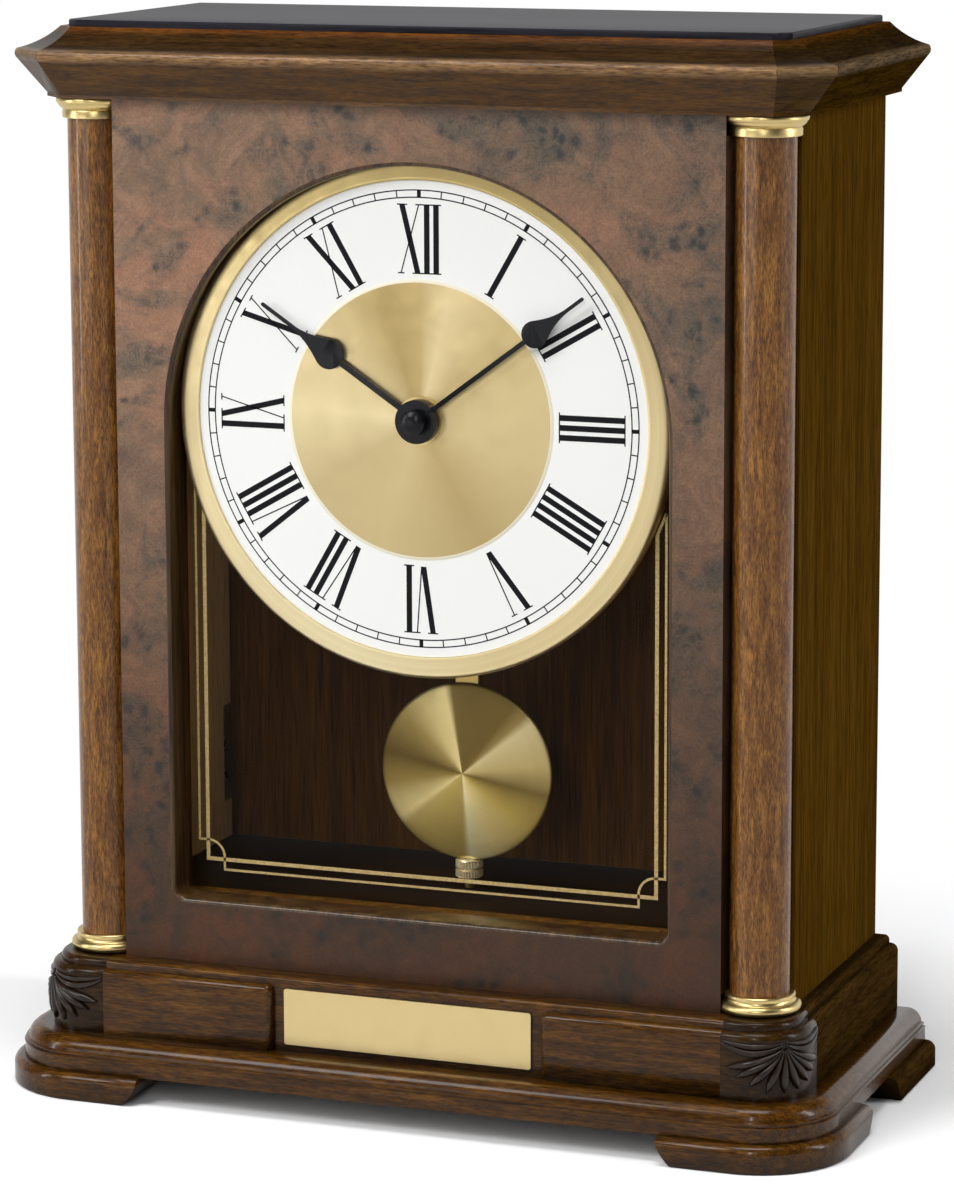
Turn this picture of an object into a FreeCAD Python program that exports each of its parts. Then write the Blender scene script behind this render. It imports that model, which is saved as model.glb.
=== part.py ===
"""Mantel clock with a pendulum: a veneered wooden case on bracket feet, an arched
window, a brass-rimmed dial and a battery movement behind it.

Millimetres. X runs to the viewer's right, the clock faces -Y, +Z is up. The origin is on
the surface that the clock stands on, at the middle of its footprint."""
import FreeCAD, Part
import os
from math import cos, pi, radians, sin

V = FreeCAD.Vector

# Case: the carcass without its mouldings
case_width = 230.6
case_depth = 103.1
body_height = 265.3
wall = 13.0
floor_thickness = 16.0
ceiling_thickness = 8.0
panel_thickness = 10.6

# Base: feet, slab and frieze, each standing out from what it carries
foot_height = 8.5
slab_thickness = 10.0
frieze_height = 23.0
foot_overhang = 3.3
slab_overhang = 9.3
frieze_side_overhang = 7.5
frieze_front_overhang = 10.5
frieze_corner_radius = 16.0
block_run = 22.9
frieze_rear_thickness = 18.0
foot_front_run = 46.6
foot_side_run = 48.6
rear_foot_run = 39.1
foot_toe = 5.0
foot_top_round = 2.8
foot_bottom_round = 0.8
foot_toe_lip = 1.8
foot_toe_shares = (0.30, 0.58)

# Edge mouldings of the base
ledge_width = 3.0
slab_ovolo_width = 5.0
slab_ovolo_height = 4.2
slab_bead = 0.55
slab_band_slope = 0.2
frieze_bead = 1.6
frieze_quirk = 0.9
frieze_fillet = 0.5
frieze_ovolo = 2.3
recess_round = 2.1

# Name plate in its recess, bare
plate_width = 80.0
plate_height = 17.5
plate_thickness = 0.8
plate_corner = 0.8
recess_margin = 3.5
plate_sill = 2.1

# Column notch, columns and their brass rings
notch_width = 18.65
notch_depth = 13.4
column_radius = 9.05
column_gap = 0.15
base_ring_radius = 12.6
base_ring_height = 5.6
base_ring_belly = 1.6
base_ring_flat_share = 0.4
base_ring_throat = 11.2
capital_radius = 12.5
capital_height = 6.3
capital_collar_height = 2.6
capital_lip_height = 1.5
ring_collar_radius = 10.5
ring_seat_clearance = 0.15

# Cornice, read outwards from the case and up from its underside
top_board_thickness = 23.2
top_reveal = 2.0
top_board_inset = 1.3
top_board_edge_round = 0.7
cornice_setback = 1.5
cornice_chamfer = 5.6
cornice_fillet_out = 5.1
cornice_fillet_height = 1.1
cornice_nose_out = 13.4
cornice_nose_height = 3.0
cornice_nose_rise = 11.5
cornice_nose_bulge = 0.6
cornice_ledge_out = 1.0
cornice_cove_sag = 0.94

# Arched window
arch_margin = 15.45
arch_head_margin = 12.6
arch_sill = 2.5
arch_corner_radius = 5.0
lipping_width = 2.7
lipping_round = 2.4
glass_thickness = 3.0
stop_width = 5.4
stop_rail = 2.7
stop_depth = 6.0
post_lap = 8.65
post_depth = 8.0

# Dial, read from the glass towards the front
dial_plate_lip = 1.0
dial_plate_thickness = 4.0
dial_lap = 2.3
dial_thickness = 0.6
dial_ring_width = 29.4
centre_disc_thickness = 0.3
bezel_margin = 2.6
bezel_flange = 6.9
bezel_wall = 1.2
bezel_lip = 0.7
bezel_shoulder = 2.2
bezel_dome = 1.3
bezel_crest_share = 0.45

# Centre fixing and hands
bush_radius = 4.0
bush_hole_clearance = 0.15
tube_radius = 2.5
arbor_radius = 1.5
running_clearance = 0.06
nut_radius = 7.2
nut_thickness = 1.0
hand_gap = 0.25
hand_thickness = 0.5
hand_boss_radius = 6.6
hand_boss_height = 1.0
hour_hand_shortfall = 5.1
hour_tip_run = 26.1
hour_bulb_radius = 4.6
hour_stem_width = 1.75
hour_taper = 13.7
minute_hand_shortfall = 6.3
minute_tip_run = 18.9
minute_bulb_radius = 4.05
minute_stem_width = 1.45
minute_taper = 12.8
hand_tip_width = 1.1
hand_cap_radius = 3.8
hand_cap_height = 4.3
hand_cap_dome = 1.2
hand_cap_crown_shares = (0.55, 0.22)
hour_hand_angle = 303.6
minute_hand_angle = 53.4
hand_bulb_lean = 62.0

# Movement
housing_width = 66.0
housing_height = 91.0
housing_depth = 20.0
housing_wall = 2.0
housing_corner = 4.0
housing_above_centre = 34.0
cover_thickness = 1.6
gear_module = 0.6
gear_width = 1.4
cannon_teeth = 10
minute_wheel_teeth = 30
minute_pinion_teeth = 8
hour_wheel_teeth = 32
tooth_tip_share = 0.17
tooth_root_share = 0.56
addendum_share = 0.80
dedendum_share = 1.15
gear_gap = 0.4
minute_stem_radius = 1.0
pivot_radius = 0.8
pivot_length = 1.2
setting_knob_radius = 5.5
setting_knob_height = 4.0
setting_knob_flutes = 8
setting_knob_flute = 0.55
setting_knob_gap = 0.25
motor_width = 31.0
motor_height = 24.0
motor_clearance = 1.4
battery_radius = 7.1
battery_length = 49.2
battery_nub_radius = 2.6
battery_nub_length = 1.2
battery_shift = 2.0
battery_below_top = 1.0
battery_door_margin = 0.7
battery_window_share = 0.9
contact_thickness = 0.5
contact_height = 10.0
contact_spring_radius = 3.6
circuit_width = 50.0
circuit_below_centre = 19.0
circuit_thickness = 1.2
circuit_standoff = 0.5
circuit_above_floor = 1.0
circuit_pillar_radius = 1.2
coil_radius = 6.0
coil_core_radius = 2.0
coil_gap = 0.6
coil_rise_share = 0.5

# Pendulum
pivot_below_centre = 27.0
stud_radius = 1.2
stud_collar_radius = 3.0
stud_head_radius = 2.4
stud_head_thickness = 1.2
stud_end_play = 0.3
hanger_width = 9.0
hanger_share = 0.34
hanger_eye_radius = 4.6
hanger_thickness = 7.0
magnet_radius = 3.0
magnet_length = 3.0
rod_width = 7.4
rod_thickness = 0.8
rod_lap = 14.0
rivet_radius = 1.4
rivet_head = 0.5
rivet_shares = (0.28, 0.72)
pendulum_depth = 44.4
bob_radius = 28.0
bob_floor_gap = 12.3
bob_dome = 3.4
bob_sheet = 0.9
bob_rim_bevel = 0.7
bob_travel = 2.8
rod_play = 0.1
guide_width = 12.0
guide_height = 22.0
guide_back = 1.0
guide_sleeve_radius = 3.2
guide_sleeve_height = 3.2
thread_radius = 1.5
thread_overrun = 0.5
thread_lap = 6.0
nut_knurl_radius = 4.4
nut_height = 6.0
nut_groove = 0.5
nut_groove_height = 0.8
nut_bevel = 0.4
nut_seat_gap = 0.05

# Back door
door_thickness = 6.0
door_recess = 3.0
door_gap = 0.4
door_end_gap = 0.5
hinge_height = 32.0
hinge_from_end = 28.0
hinge_leaf = 0.8
hinge_leaf_width = 14.0
hinge_knuckle_radius = 1.4
hinge_pin_radius = 0.6
hinge_knuckle_gap = 0.2
hinge_face_gap = 0.1
catch_width = 8.0
catch_depth = 10.5
catch_height = 16.0
catch_gap = 0.3
strike_thickness = 0.8
strike_height = 20.0
knob_radius = 5.0
knob_height = 2.7
knob_neck_radius = 3.0
knob_neck_height = 0.9
knob_inset = 16.0

# One overrun for every cut
cut = 1.0

# Widths worked out from the case
half = case_width / 2
inner_half = half - wall
panel_half = half - notch_width
frieze_half = half + frieze_side_overhang
slab_half = frieze_half + slab_overhang
foot_half = slab_half + foot_overhang
block_half = frieze_half - block_run
arch_half_width = panel_half - arch_margin

# Depths: the footprint is centred on the origin
overall_depth = case_depth + frieze_front_overhang + slab_overhang + foot_overhang
back = overall_depth / 2
face = back - case_depth
frieze_front = face - frieze_front_overhang
slab_front = frieze_front - slab_overhang
foot_line = slab_front - foot_overhang
glass_front = face + panel_thickness
glass_back = glass_front + glass_thickness
notch_back = face + notch_depth
slab_corner_radius = frieze_corner_radius + slab_overhang
foot_corner_radius = slab_corner_radius + foot_overhang

# Heights
slab_bottom = foot_height
frieze_bottom = slab_bottom + slab_thickness
body_bottom = frieze_bottom + frieze_height
floor_top = body_bottom + floor_thickness
body_top = body_bottom + body_height
ceiling = body_top - ceiling_thickness
overall_height = body_top + top_board_thickness
cornice_top = overall_height - top_reveal
arch_bottom = floor_top + arch_sill
centre_z = body_top - arch_head_margin - arch_half_width

# Column axis
column_x = panel_half + column_gap + column_radius
column_y = face + column_gap + column_radius

# Dial and hands, sized from the arch inwards
bezel_radius = arch_half_width - bezel_margin
bezel_bore_radius = bezel_radius - bezel_flange
dial_radius = bezel_bore_radius + dial_lap
dial_plate_radius = dial_radius + dial_plate_lip
centre_disc_radius = bezel_bore_radius - dial_ring_width
minute_hand_length = bezel_bore_radius - minute_hand_shortfall
minute_bulb_at = minute_hand_length - minute_tip_run
hour_hand_length = minute_hand_length - hour_hand_shortfall
hour_bulb_at = hour_hand_length - hour_tip_run

# Dial stack
dial_back = glass_front - dial_plate_thickness
dial_front = dial_back - dial_thickness
centre_disc_front = dial_front - centre_disc_thickness
nut_front = centre_disc_front - nut_thickness
hour_hand_back = nut_front - hand_gap
hour_hand_front = hour_hand_back - hand_boss_height
minute_hand_back = hour_hand_front - hand_gap
minute_hand_front = minute_hand_back - hand_boss_height

# Movement planes, from the glass to the back
housing_top = centre_z + housing_above_centre
housing_bottom = housing_top - housing_height
housing_floor = housing_bottom + housing_wall
housing_inside = glass_back + housing_wall
cover_front = glass_back + housing_depth - cover_thickness
cover_back = glass_back + housing_depth
hour_wheel_front = housing_inside + gear_gap
minute_wheel_front = hour_wheel_front + gear_width + gear_gap
gear_distance = gear_module * (cannon_teeth + minute_wheel_teeth) / 2
motor_front = minute_wheel_front + gear_width + gear_gap
battery_y = cover_front - battery_radius - battery_door_margin
battery_z = housing_top - housing_wall - battery_below_top - battery_radius

# Pendulum planes
pivot_z = centre_z - pivot_below_centre
bob_z = floor_top + bob_floor_gap + bob_radius
hanger_length = (pivot_z - bob_z) * hanger_share
magnet_z = housing_floor + (pivot_z - housing_floor) * coil_rise_share
rod_front = face + pendulum_depth
rod_back = rod_front + rod_thickness
hanger_front = rod_front - hanger_thickness
thread_y = rod_front + rod_play + thread_radius
bob_bottom = bob_z - bob_radius
nut_top = bob_bottom - nut_seat_gap
nut_bottom = nut_top - nut_height
thread_bottom = nut_bottom - bob_travel - thread_overrun
thread_top = nut_top + guide_sleeve_height + bob_travel + thread_overrun

# Door planes
door_back = back - door_recess
door_front = door_back - door_thickness
door_half = inner_half - door_gap
door_bottom = floor_top + door_end_gap
door_top = ceiling - door_end_gap
hinge_y = door_back + hinge_knuckle_radius + hinge_face_gap
hinge_x = -(inner_half - hinge_knuckle_radius - door_gap / 2)
hinge_middles = (door_bottom + hinge_from_end, door_top - hinge_from_end)


def box(x0, x1, y0, y1, z0, z1):
    return Part.makeBox(x1 - x0, y1 - y0, z1 - z0, V(x0, y0, z0))


def rod_along_y(radius, y0, y1, x=0.0, z=centre_z):
    return Part.makeCylinder(radius, y1 - y0, V(x, y0, z), V(0, 1, 0))


def post_along_z(radius, z0, z1, x=0.0, y=0.0):
    return Part.makeCylinder(radius, z1 - z0, V(x, y, z0), V(0, 0, 1))


def outline(start, *steps):
    """A closed flat wire. A step is a point, or a pair of points: a place on an arc and its end."""
    edges, here = [], start
    for step in steps + (start,):
        if isinstance(step, tuple):
            edges.append(Part.Arc(here, step[0], step[1]).toShape())
            here = step[1]
        elif (step - here).Length > cut / 10000:
            edges.append(Part.LineSegment(here, step).toShape())
            here = step
    return Part.Wire(edges)


def face_of(start, *steps):
    return Part.Face(outline(start, *steps))


def quarter(start, end, bulge_towards):
    """The middle point of a quarter arc from start to end that swells towards a corner."""
    middle = (start + end) * 0.5
    return middle + (bulge_towards - middle) * (2 ** 0.5 - 1)


def on_arc(start, corner, end):
    """One outline step: a quarter-like arc that swells towards its corner."""
    return (quarter(start, end, corner), end)


def turned(face, x=0.0, y=0.0):
    """A profile in the XZ plane, radius along X, revolved right round a vertical axis at x, y."""
    shape = face.revolve(V(0, 0, 0), V(0, 0, 1), 360)
    shape.translate(V(x, y, 0))
    return shape


def spun(profile, x=0.0, z=centre_z):
    """A profile in the XY plane, radius along X, revolved right round an axis along Y at x, z."""
    shape = profile.revolve(V(0, 0, 0), V(0, 1, 0), 360)
    shape.translate(V(x, 0, z))
    return shape


def mirrored(shape):
    return shape.mirror(V(0, 0, 0), V(1, 0, 0))


def joined(first, *others):
    return first.fuse(list(others)).removeSplitter()


def save(name, shape):
    shape.exportStep(os.path.join("parts", name + ".step"))


def save_pair(name, right):
    """A piece and its mirror image, each under its own name."""
    save(name + "_right", right)
    save(name + "_left", mirrored(right))


def save_both(name, right):
    """A piece and its mirror image as two solids of one group."""
    save(name, Part.makeCompound([right, mirrored(right)]))


# Edge mouldings: profiles in the XZ plane, x = 0 on the reference line and outwards positive
def front_run(profile, half_length, line_y):
    """The profile carried along X, facing the front."""
    run = profile.copy()
    run.rotate(V(0, 0, 0), V(0, 0, 1), -90)
    run.translate(V(-half_length, line_y, 0))
    return run.extrude(V(2 * half_length, 0, 0))


def side_run(profile, line_x, y0, y1):
    """The profile carried along Y, facing the right-hand side."""
    run = profile.copy()
    run.translate(V(line_x, y0, 0))
    return run.extrude(V(0, y1 - y0, 0))


def corner_run(profile, line_x, line_y, radius):
    """The profile turned through the front right-hand corner, about the corner's centre."""
    run = profile.copy()
    run.translate(V(radius, 0, 0))
    run.rotate(V(0, 0, 0), V(0, 0, 1), -90)
    run = run.revolve(V(0, 0, 0), V(0, 0, 1), 90)
    run.translate(V(line_x - radius, line_y + radius, 0))
    return run


def foot_profile():
    """Bracket foot: vertical face, large round at the top, small one at the floor."""
    inner = -foot_corner_radius
    top, low = foot_height, foot_bottom_round
    high = top - foot_top_round
    return face_of(V(inner, 0, 0), V(-low, 0, 0), on_arc(V(-low, 0, 0), V(0, 0, 0), V(0, 0, low)),
                   V(0, 0, high), on_arc(V(0, 0, high), V(0, 0, top), V(-foot_top_round, 0, top)),
                   V(inner, 0, top))


def toe_cutter(length):
    """A concave toe: a lip under the slab, then a cove that runs in towards the floor.
    The cutter lies beyond x = 0, the foot's end, and runs along Y."""
    lip = foot_height - foot_toe_lip
    across, up = foot_toe_shares
    cove = (V(foot_toe * across, 0, lip * up), V(foot_toe, 0, 0))
    section = face_of(V(0, 0, foot_height + cut), V(0, 0, lip), cove, V(foot_toe, 0, -cut),
                      V(-cut - foot_front_run, 0, -cut), V(-cut - foot_front_run, 0, foot_height + cut))
    return section.extrude(V(0, length, 0))


def foot_front():
    """Front right-hand foot, rounded with the corner, with a toe towards the middle and the back."""
    toe_x = foot_half - foot_front_run - foot_toe
    toe_y = foot_line + foot_side_run + foot_toe
    block = joined(corner_run(foot_profile(), foot_half, foot_line, foot_corner_radius),
                   front_run(foot_profile(), foot_half - foot_corner_radius, foot_line),
                   side_run(foot_profile(), foot_half, foot_line + foot_corner_radius, toe_y),
                   box(toe_x, foot_half - foot_corner_radius, foot_line + foot_corner_radius, toe_y,
                       0, foot_height))
    across = toe_cutter(overall_depth)
    across.translate(V(toe_x, foot_line - cut, 0))
    beyond = box(-foot_half - cut, toe_x - foot_front_run, foot_line - cut, back, -cut, foot_height + cut)
    along = toe_cutter(2 * foot_half)
    along.rotate(V(0, 0, 0), V(0, 0, 1), -90)
    along.translate(V(-foot_half, toe_y, 0))
    return block.cut(beyond).cut(across).cut(along).removeSplitter()


def foot_rear():
    """Rear right-hand foot: straight along the side, square at the back."""
    toe_x = foot_half - foot_front_run - foot_toe
    toe_y = back - rear_foot_run - foot_toe
    block = joined(side_run(foot_profile(), foot_half, toe_y, back),
                   box(toe_x, foot_half - foot_corner_radius, toe_y, back, 0, foot_height))
    across = toe_cutter(overall_depth)
    across.translate(V(toe_x, -back, 0))
    along = toe_cutter(2 * foot_half)
    along.rotate(V(0, 0, 0), V(0, 0, 1), 90)
    along.translate(V(foot_half, toe_y, 0))
    return block.cut(across).cut(along).removeSplitter()


def slab_profile():
    """Base slab: ledge, broad ovolo, two fine beads and a band that stands almost upright."""
    inner, top, low = -slab_corner_radius, frieze_bottom, slab_bottom
    edge = -slab_overhang + ledge_width
    ovolo = V(edge + slab_ovolo_width, 0, top - slab_ovolo_height)
    bead_1 = ovolo + V(slab_bead, 0, -2 * slab_bead)
    bead_2 = bead_1 + V(slab_bead, 0, -2 * slab_bead)
    band = V(-slab_band_slope, 0, bead_2.z)
    return face_of(V(inner, 0, low), V(0, 0, low), band, bead_2,
                   bead_1 * 0.5 + bead_2 * 0.5 + V(slab_bead, 0, slab_bead / 2), bead_1,
                   ovolo * 0.5 + bead_1 * 0.5 + V(slab_bead, 0, slab_bead / 2), ovolo,
                   on_arc(ovolo, V(ovolo.x, 0, top), V(edge, 0, top)),
                   V(inner, 0, top))


def base_slab():
    """One board with its moulded edge run round the front and both sides."""
    profile = slab_profile()
    right = joined(corner_run(profile, slab_half, slab_front, slab_corner_radius),
                   side_run(profile, slab_half, slab_front + slab_corner_radius, back))
    core_half = slab_half - slab_corner_radius
    core = box(-core_half, core_half, slab_front + slab_corner_radius, back, slab_bottom, frieze_bottom)
    return joined(core, front_run(profile, core_half, slab_front), right, mirrored(right))


def frieze_profile(depth):
    """Frieze: flat face, ovolo, fillet and a bead under the ledge that the case stands on."""
    top, low = body_bottom, frieze_bottom
    flat = V(0, 0, top - frieze_bead - frieze_quirk - frieze_ovolo)
    ovolo_end = V(-frieze_ovolo, 0, flat.z + frieze_ovolo)
    quirk = ovolo_end + V(-frieze_fillet, 0, 0)
    bead = quirk + V(0, 0, frieze_quirk)
    bead_end = bead + V(-frieze_bead, 0, frieze_bead)
    return face_of(V(-depth, 0, low), V(0, 0, low), flat, on_arc(flat, V(0, 0, ovolo_end.z), ovolo_end),
                   quirk, bead, on_arc(bead, V(bead.x, 0, top), bead_end), V(-depth, 0, top))


recess_half = plate_width / 2 + recess_margin
recess_depth = frieze_ovolo + frieze_fillet
recess_top = body_bottom - frieze_bead - frieze_quirk


def frieze_front_rail():
    """Front rail of the frieze, with a recess for the name plate between rounded ends."""
    rail = front_run(frieze_profile(block_run), block_half, frieze_front)
    recess = box(-recess_half, recess_half, frieze_front - cut, frieze_front + recess_depth,
                 frieze_bottom - cut, recess_top)
    rail = rail.cut(recess)
    rounded = [edge for edge in rail.Edges
               if abs(abs(edge.CenterOfMass.x) - recess_half) < cut / 100
               and abs(edge.CenterOfMass.y - frieze_front) < cut / 100
               and edge.Length > frieze_height / 2]
    return rail.makeFillet(recess_round, rounded)


def name_plate():
    """Thin brass plate with eased corners, bedded on the back of the recess."""
    front = frieze_front + recess_depth - plate_thickness
    low = frieze_bottom + plate_sill
    plate = box(-plate_width / 2, plate_width / 2, front, front + plate_thickness, low, low + plate_height)
    corners = [edge for edge in plate.Edges if abs(edge.Length - plate_thickness) < cut / 1000]
    return plate.makeFillet(plate_corner, corners)


def corner_block():
    """Block under the column, with the frieze's own profile carried round its corner."""
    straight = block_run - frieze_corner_radius
    front = front_run(frieze_profile(block_run), straight / 2, frieze_front)
    front.translate(V(block_half + straight / 2, 0, 0))
    side = side_run(frieze_profile(frieze_corner_radius), frieze_half,
                    frieze_front + frieze_corner_radius, frieze_front + block_run)
    turn = corner_run(frieze_profile(frieze_corner_radius), frieze_half, frieze_front, frieze_corner_radius)
    return joined(turn, front, side)


def frieze_side():
    return side_run(frieze_profile(block_run), frieze_half, frieze_front + block_run, back)


def frieze_rear():
    return box(-block_half, block_half, back - frieze_rear_thickness, back, frieze_bottom, body_bottom)


def notches():
    """The spaces at the front corners that the columns stand in."""
    right = box(panel_half, half + cut, face - cut, notch_back, frieze_bottom, overall_height)
    return [right, mirrored(right)]


def case_floor():
    board = box(-inner_half, inner_half, glass_front, back, body_bottom, floor_top)
    return board.cut(notches())


def case_ceiling():
    board = box(-inner_half, inner_half, glass_front, back, ceiling, body_top)
    return board.cut(notches())


def arch_wire(grow, y):
    """The window's outline: straight sides with a round head struck from the dial centre."""
    side, low, round_ = arch_half_width + grow, arch_bottom - grow, arch_corner_radius + grow
    lean = round_ * (1 - cos(pi / 4))
    return outline(V(-side + round_, y, low), V(side - round_, y, low),
                   (V(side - lean, y, low + lean), V(side, y, low + round_)),
                   V(side, y, centre_z), (V(0, y, centre_z + side), V(-side, y, centre_z)),
                   V(-side, y, low + round_),
                   (V(-side + lean, y, low + lean), V(-side + round_, y, low)))


def arch_prism(grow, y0, y1):
    return Part.Face(arch_wire(grow, y0)).extrude(V(0, y1 - y0, 0))


def ring_seats():
    """Round notches in the front panel's edges that the column rings are let into."""
    low = post_along_z(base_ring_radius + ring_seat_clearance, body_bottom - cut, body_bottom + base_ring_height,
                       column_x, column_y)
    high = post_along_z(capital_radius + ring_seat_clearance, body_top - capital_height, body_top + cut,
                        column_x, column_y)
    return [low, high, mirrored(low), mirrored(high)]


def front_panel():
    """Veneered front with the arched window cut for its lipping."""
    board = box(-panel_half, panel_half, face, glass_front, body_bottom, body_top)
    return board.cut([arch_prism(lipping_width, face - cut, glass_front + cut)] + ring_seats())


def arch_lipping():
    """Solid wood lipping round the window, its front edge rounded over."""
    lipping = arch_prism(lipping_width, face, glass_front).cut(arch_prism(0, face - cut, glass_front + cut))
    inner = arch_wire(0, face)
    front_edges = [edge for edge in lipping.Edges
                   if abs(edge.BoundBox.YMin - face) < cut / 1000 and abs(edge.BoundBox.YMax - face) < cut / 1000
                   and inner.distToShape(Part.Vertex(edge.valueAt(edge.FirstParameter)))[0] < cut / 1000]
    return lipping.makeFillet(lipping_round, front_edges)


def window_glass():
    """Flat pane behind the whole front panel, drilled for the movement's bush."""
    side = panel_half - post_lap
    pane = box(-side, side, glass_front, glass_back, floor_top, ceiling)
    return pane.cut(rod_along_y(bush_radius + bush_hole_clearance, glass_front - cut, glass_back + cut))


def glazing_stops():
    """Wooden beads that hold the pane against the front panel: two sides, sill and head."""
    side = panel_half - post_lap
    y0, y1 = glass_back, glass_back + stop_depth
    upright = box(side - stop_width, side, y0, y1, floor_top, ceiling)
    span = side - stop_width
    sill = box(-span, span, y0, y1, floor_top, floor_top + stop_rail)
    head = box(-span, span, y0, y1, ceiling - stop_rail, ceiling)
    return Part.makeCompound([upright, mirrored(upright), sill, head])


def side_panel():
    """Right-hand side; the left one is its mirror, with the hinge leaves let into it."""
    return box(inner_half, half, notch_back, back, body_bottom, body_top)


def side_panel_left():
    panel = mirrored(side_panel())
    for middle in hinge_middles:
        panel = panel.cut(box(-inner_half - hinge_leaf, -inner_half, back - hinge_leaf_width, back,
                              middle - hinge_height / 2, middle + hinge_height / 2))
    return panel


def corner_post():
    """Post behind the front panel: it closes the column notch and carries the pane's edge."""
    block = box(panel_half - post_lap, inner_half, glass_front, notch_back + post_depth, floor_top, ceiling)
    return block.cut(notches()[0])


def behind_column():
    """All that lies behind the notch, where a column and its rings are cut flat."""
    return box(0, slab_half, notch_back, back, body_bottom - cut, body_top + cut)


def column():
    """Turned column, cut flat where it stands against the side panel and its post."""
    shaft = post_along_z(column_radius, body_bottom, body_top, column_x, column_y)
    return shaft.cut(behind_column())


def ring_room():
    """What a column ring is cut away by: the corner post, and all that lies behind the notch."""
    return [box(0, panel_half, glass_front, notch_back, body_bottom - cut, body_top + cut), behind_column()]


def column_base_ring():
    """Spun brass ring: a swelling on the block, a hollow, then a collar round the column."""
    z0, z1 = body_bottom, body_bottom + base_ring_height
    belly = V(base_ring_radius - base_ring_belly, 0, z0)
    shoulder = V(belly.x, 0, z0 + 2 * base_ring_belly)
    swell = [V(base_ring_radius, 0, z0 + base_ring_belly * (1 + side * base_ring_flat_share)) for side in (-1, 1)]
    throat = V(base_ring_throat, 0, shoulder.z)
    collar = V(ring_collar_radius, 0, (throat.z + z1) / 2)
    profile = face_of(V(column_radius, 0, z0), belly, *swell, shoulder, throat, collar,
                      V(collar.x, 0, z1), V(column_radius, 0, z1))
    return turned(profile, column_x, column_y).cut(ring_room())


def column_capital():
    """Spun brass capital: a collar round the column that flares out under the cornice."""
    z1, z0 = body_top, body_top - capital_height
    collar = V(ring_collar_radius, 0, z0 + capital_collar_height)
    lip = V(capital_radius, 0, z1 - capital_lip_height)
    profile = face_of(V(column_radius, 0, z0), V(collar.x, 0, z0), collar,
                      quarter(collar, lip, V(lip.x, 0, collar.z)), lip, V(lip.x, 0, z1), V(column_radius, 0, z1))
    return turned(profile, column_x, column_y).cut(ring_room())


def cornice_profile():
    """Cornice: fillet and long slope under a blunt nose, then a cove up to the ledge."""
    z0, z1 = body_top, cornice_top
    inner = -top_board_inset
    nose_low = z0 + cornice_nose_rise
    nose_high = nose_low + cornice_nose_height
    tip = V(cornice_nose_out + cornice_nose_bulge, 0, (nose_low + nose_high) / 2)
    ledge = V(cornice_ledge_out, 0, z1)
    nose_top = V(cornice_nose_out, 0, nose_high)
    hollow = V(nose_top.z - ledge.z, 0, ledge.x - nose_top.x).normalize() * cornice_cove_sag
    sag = (ledge + nose_top) * 0.5 + hollow
    return face_of(V(inner, 0, z0), V(cornice_fillet_out, 0, z0),
                   V(cornice_fillet_out, 0, z0 + cornice_fillet_height),
                   V(cornice_nose_out, 0, nose_low), (tip, nose_top), (sag, ledge), V(inner, 0, z1))


cornice_front_y = face + cornice_setback


def half_space(pivot, out, along):
    """A block of space on one side of the vertical plane through pivot and out."""
    reach = case_width
    corner = [pivot - out * reach, pivot + out * reach, pivot + out * reach + along * reach,
              pivot - out * reach + along * reach]
    return Part.Face(Part.makePolygon(corner + corner[:1])).extrude(V(0, 0, overall_height))


mitre = 22.5
front_mitre_out = V(sin(radians(mitre)), -cos(radians(mitre)), 0)
front_mitre_along = V(cos(radians(mitre)), sin(radians(mitre)), 0)
side_mitre_out = V(cos(radians(mitre)), -sin(radians(mitre)), 0)
side_mitre_along = V(sin(radians(mitre)), cos(radians(mitre)), 0)
front_mitre_at = V(half - cornice_chamfer, cornice_front_y, 0)
side_mitre_at = V(half, cornice_front_y + cornice_chamfer, 0)


def cornice_front():
    """Front length, mitred at both ends where the corner is clipped at 45 degrees."""
    length = front_run(cornice_profile(), half, cornice_front_y)
    beyond = half_space(front_mitre_at, front_mitre_out, front_mitre_along)
    return length.cut([beyond, mirrored(beyond)])


def cornice_side():
    """Right-hand length, mitred at the front and cut square at the back."""
    length = side_run(cornice_profile(), half, cornice_front_y - cornice_nose_out, back)
    return length.cut(half_space(side_mitre_at, side_mitre_out, -side_mitre_along))


def cornice_corner():
    """Short piece across the clipped corner, mitred at both ends."""
    diagonal = front_run(cornice_profile(), case_depth / 2, 0.0)
    diagonal.rotate(V(0, 0, 0), V(0, 0, 1), 45)
    diagonal.translate((front_mitre_at + side_mitre_at) * 0.5)
    kept = half_space(front_mitre_at, front_mitre_out, front_mitre_along)
    return diagonal.common(kept).cut(half_space(side_mitre_at, side_mitre_out, side_mitre_along))


def top_board():
    """Thick top board with clipped corners, standing just proud of the cornice's ledge."""
    side, front = half - top_board_inset, cornice_front_y + top_board_inset
    clip = cornice_chamfer - top_board_inset * (2 - 2 ** 0.5)
    plan = [V(-side, back, body_top), V(-side, front + clip, body_top), V(-side + clip, front, body_top),
            V(side - clip, front, body_top), V(side, front + clip, body_top), V(side, back, body_top)]
    board = Part.Face(Part.makePolygon(plan + plan[:1])).extrude(V(0, 0, top_board_thickness))
    rim = [edge for edge in board.Edges
           if abs(edge.BoundBox.ZMin - overall_height) < cut / 1000 and edge.CenterOfMass.y < back - cut]
    return board.makeFillet(top_board_edge_round, rim)


# Dial
def dial_plate():
    """Backing disc of the dial, against the pane."""
    disc = rod_along_y(dial_plate_radius, dial_back, glass_front)
    return disc.cut(rod_along_y(bush_radius, dial_back - cut, glass_front + cut))


def dial():
    disc = rod_along_y(dial_radius, dial_front, dial_back)
    return disc.cut(rod_along_y(bush_radius, dial_front - cut, dial_back + cut))


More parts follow.
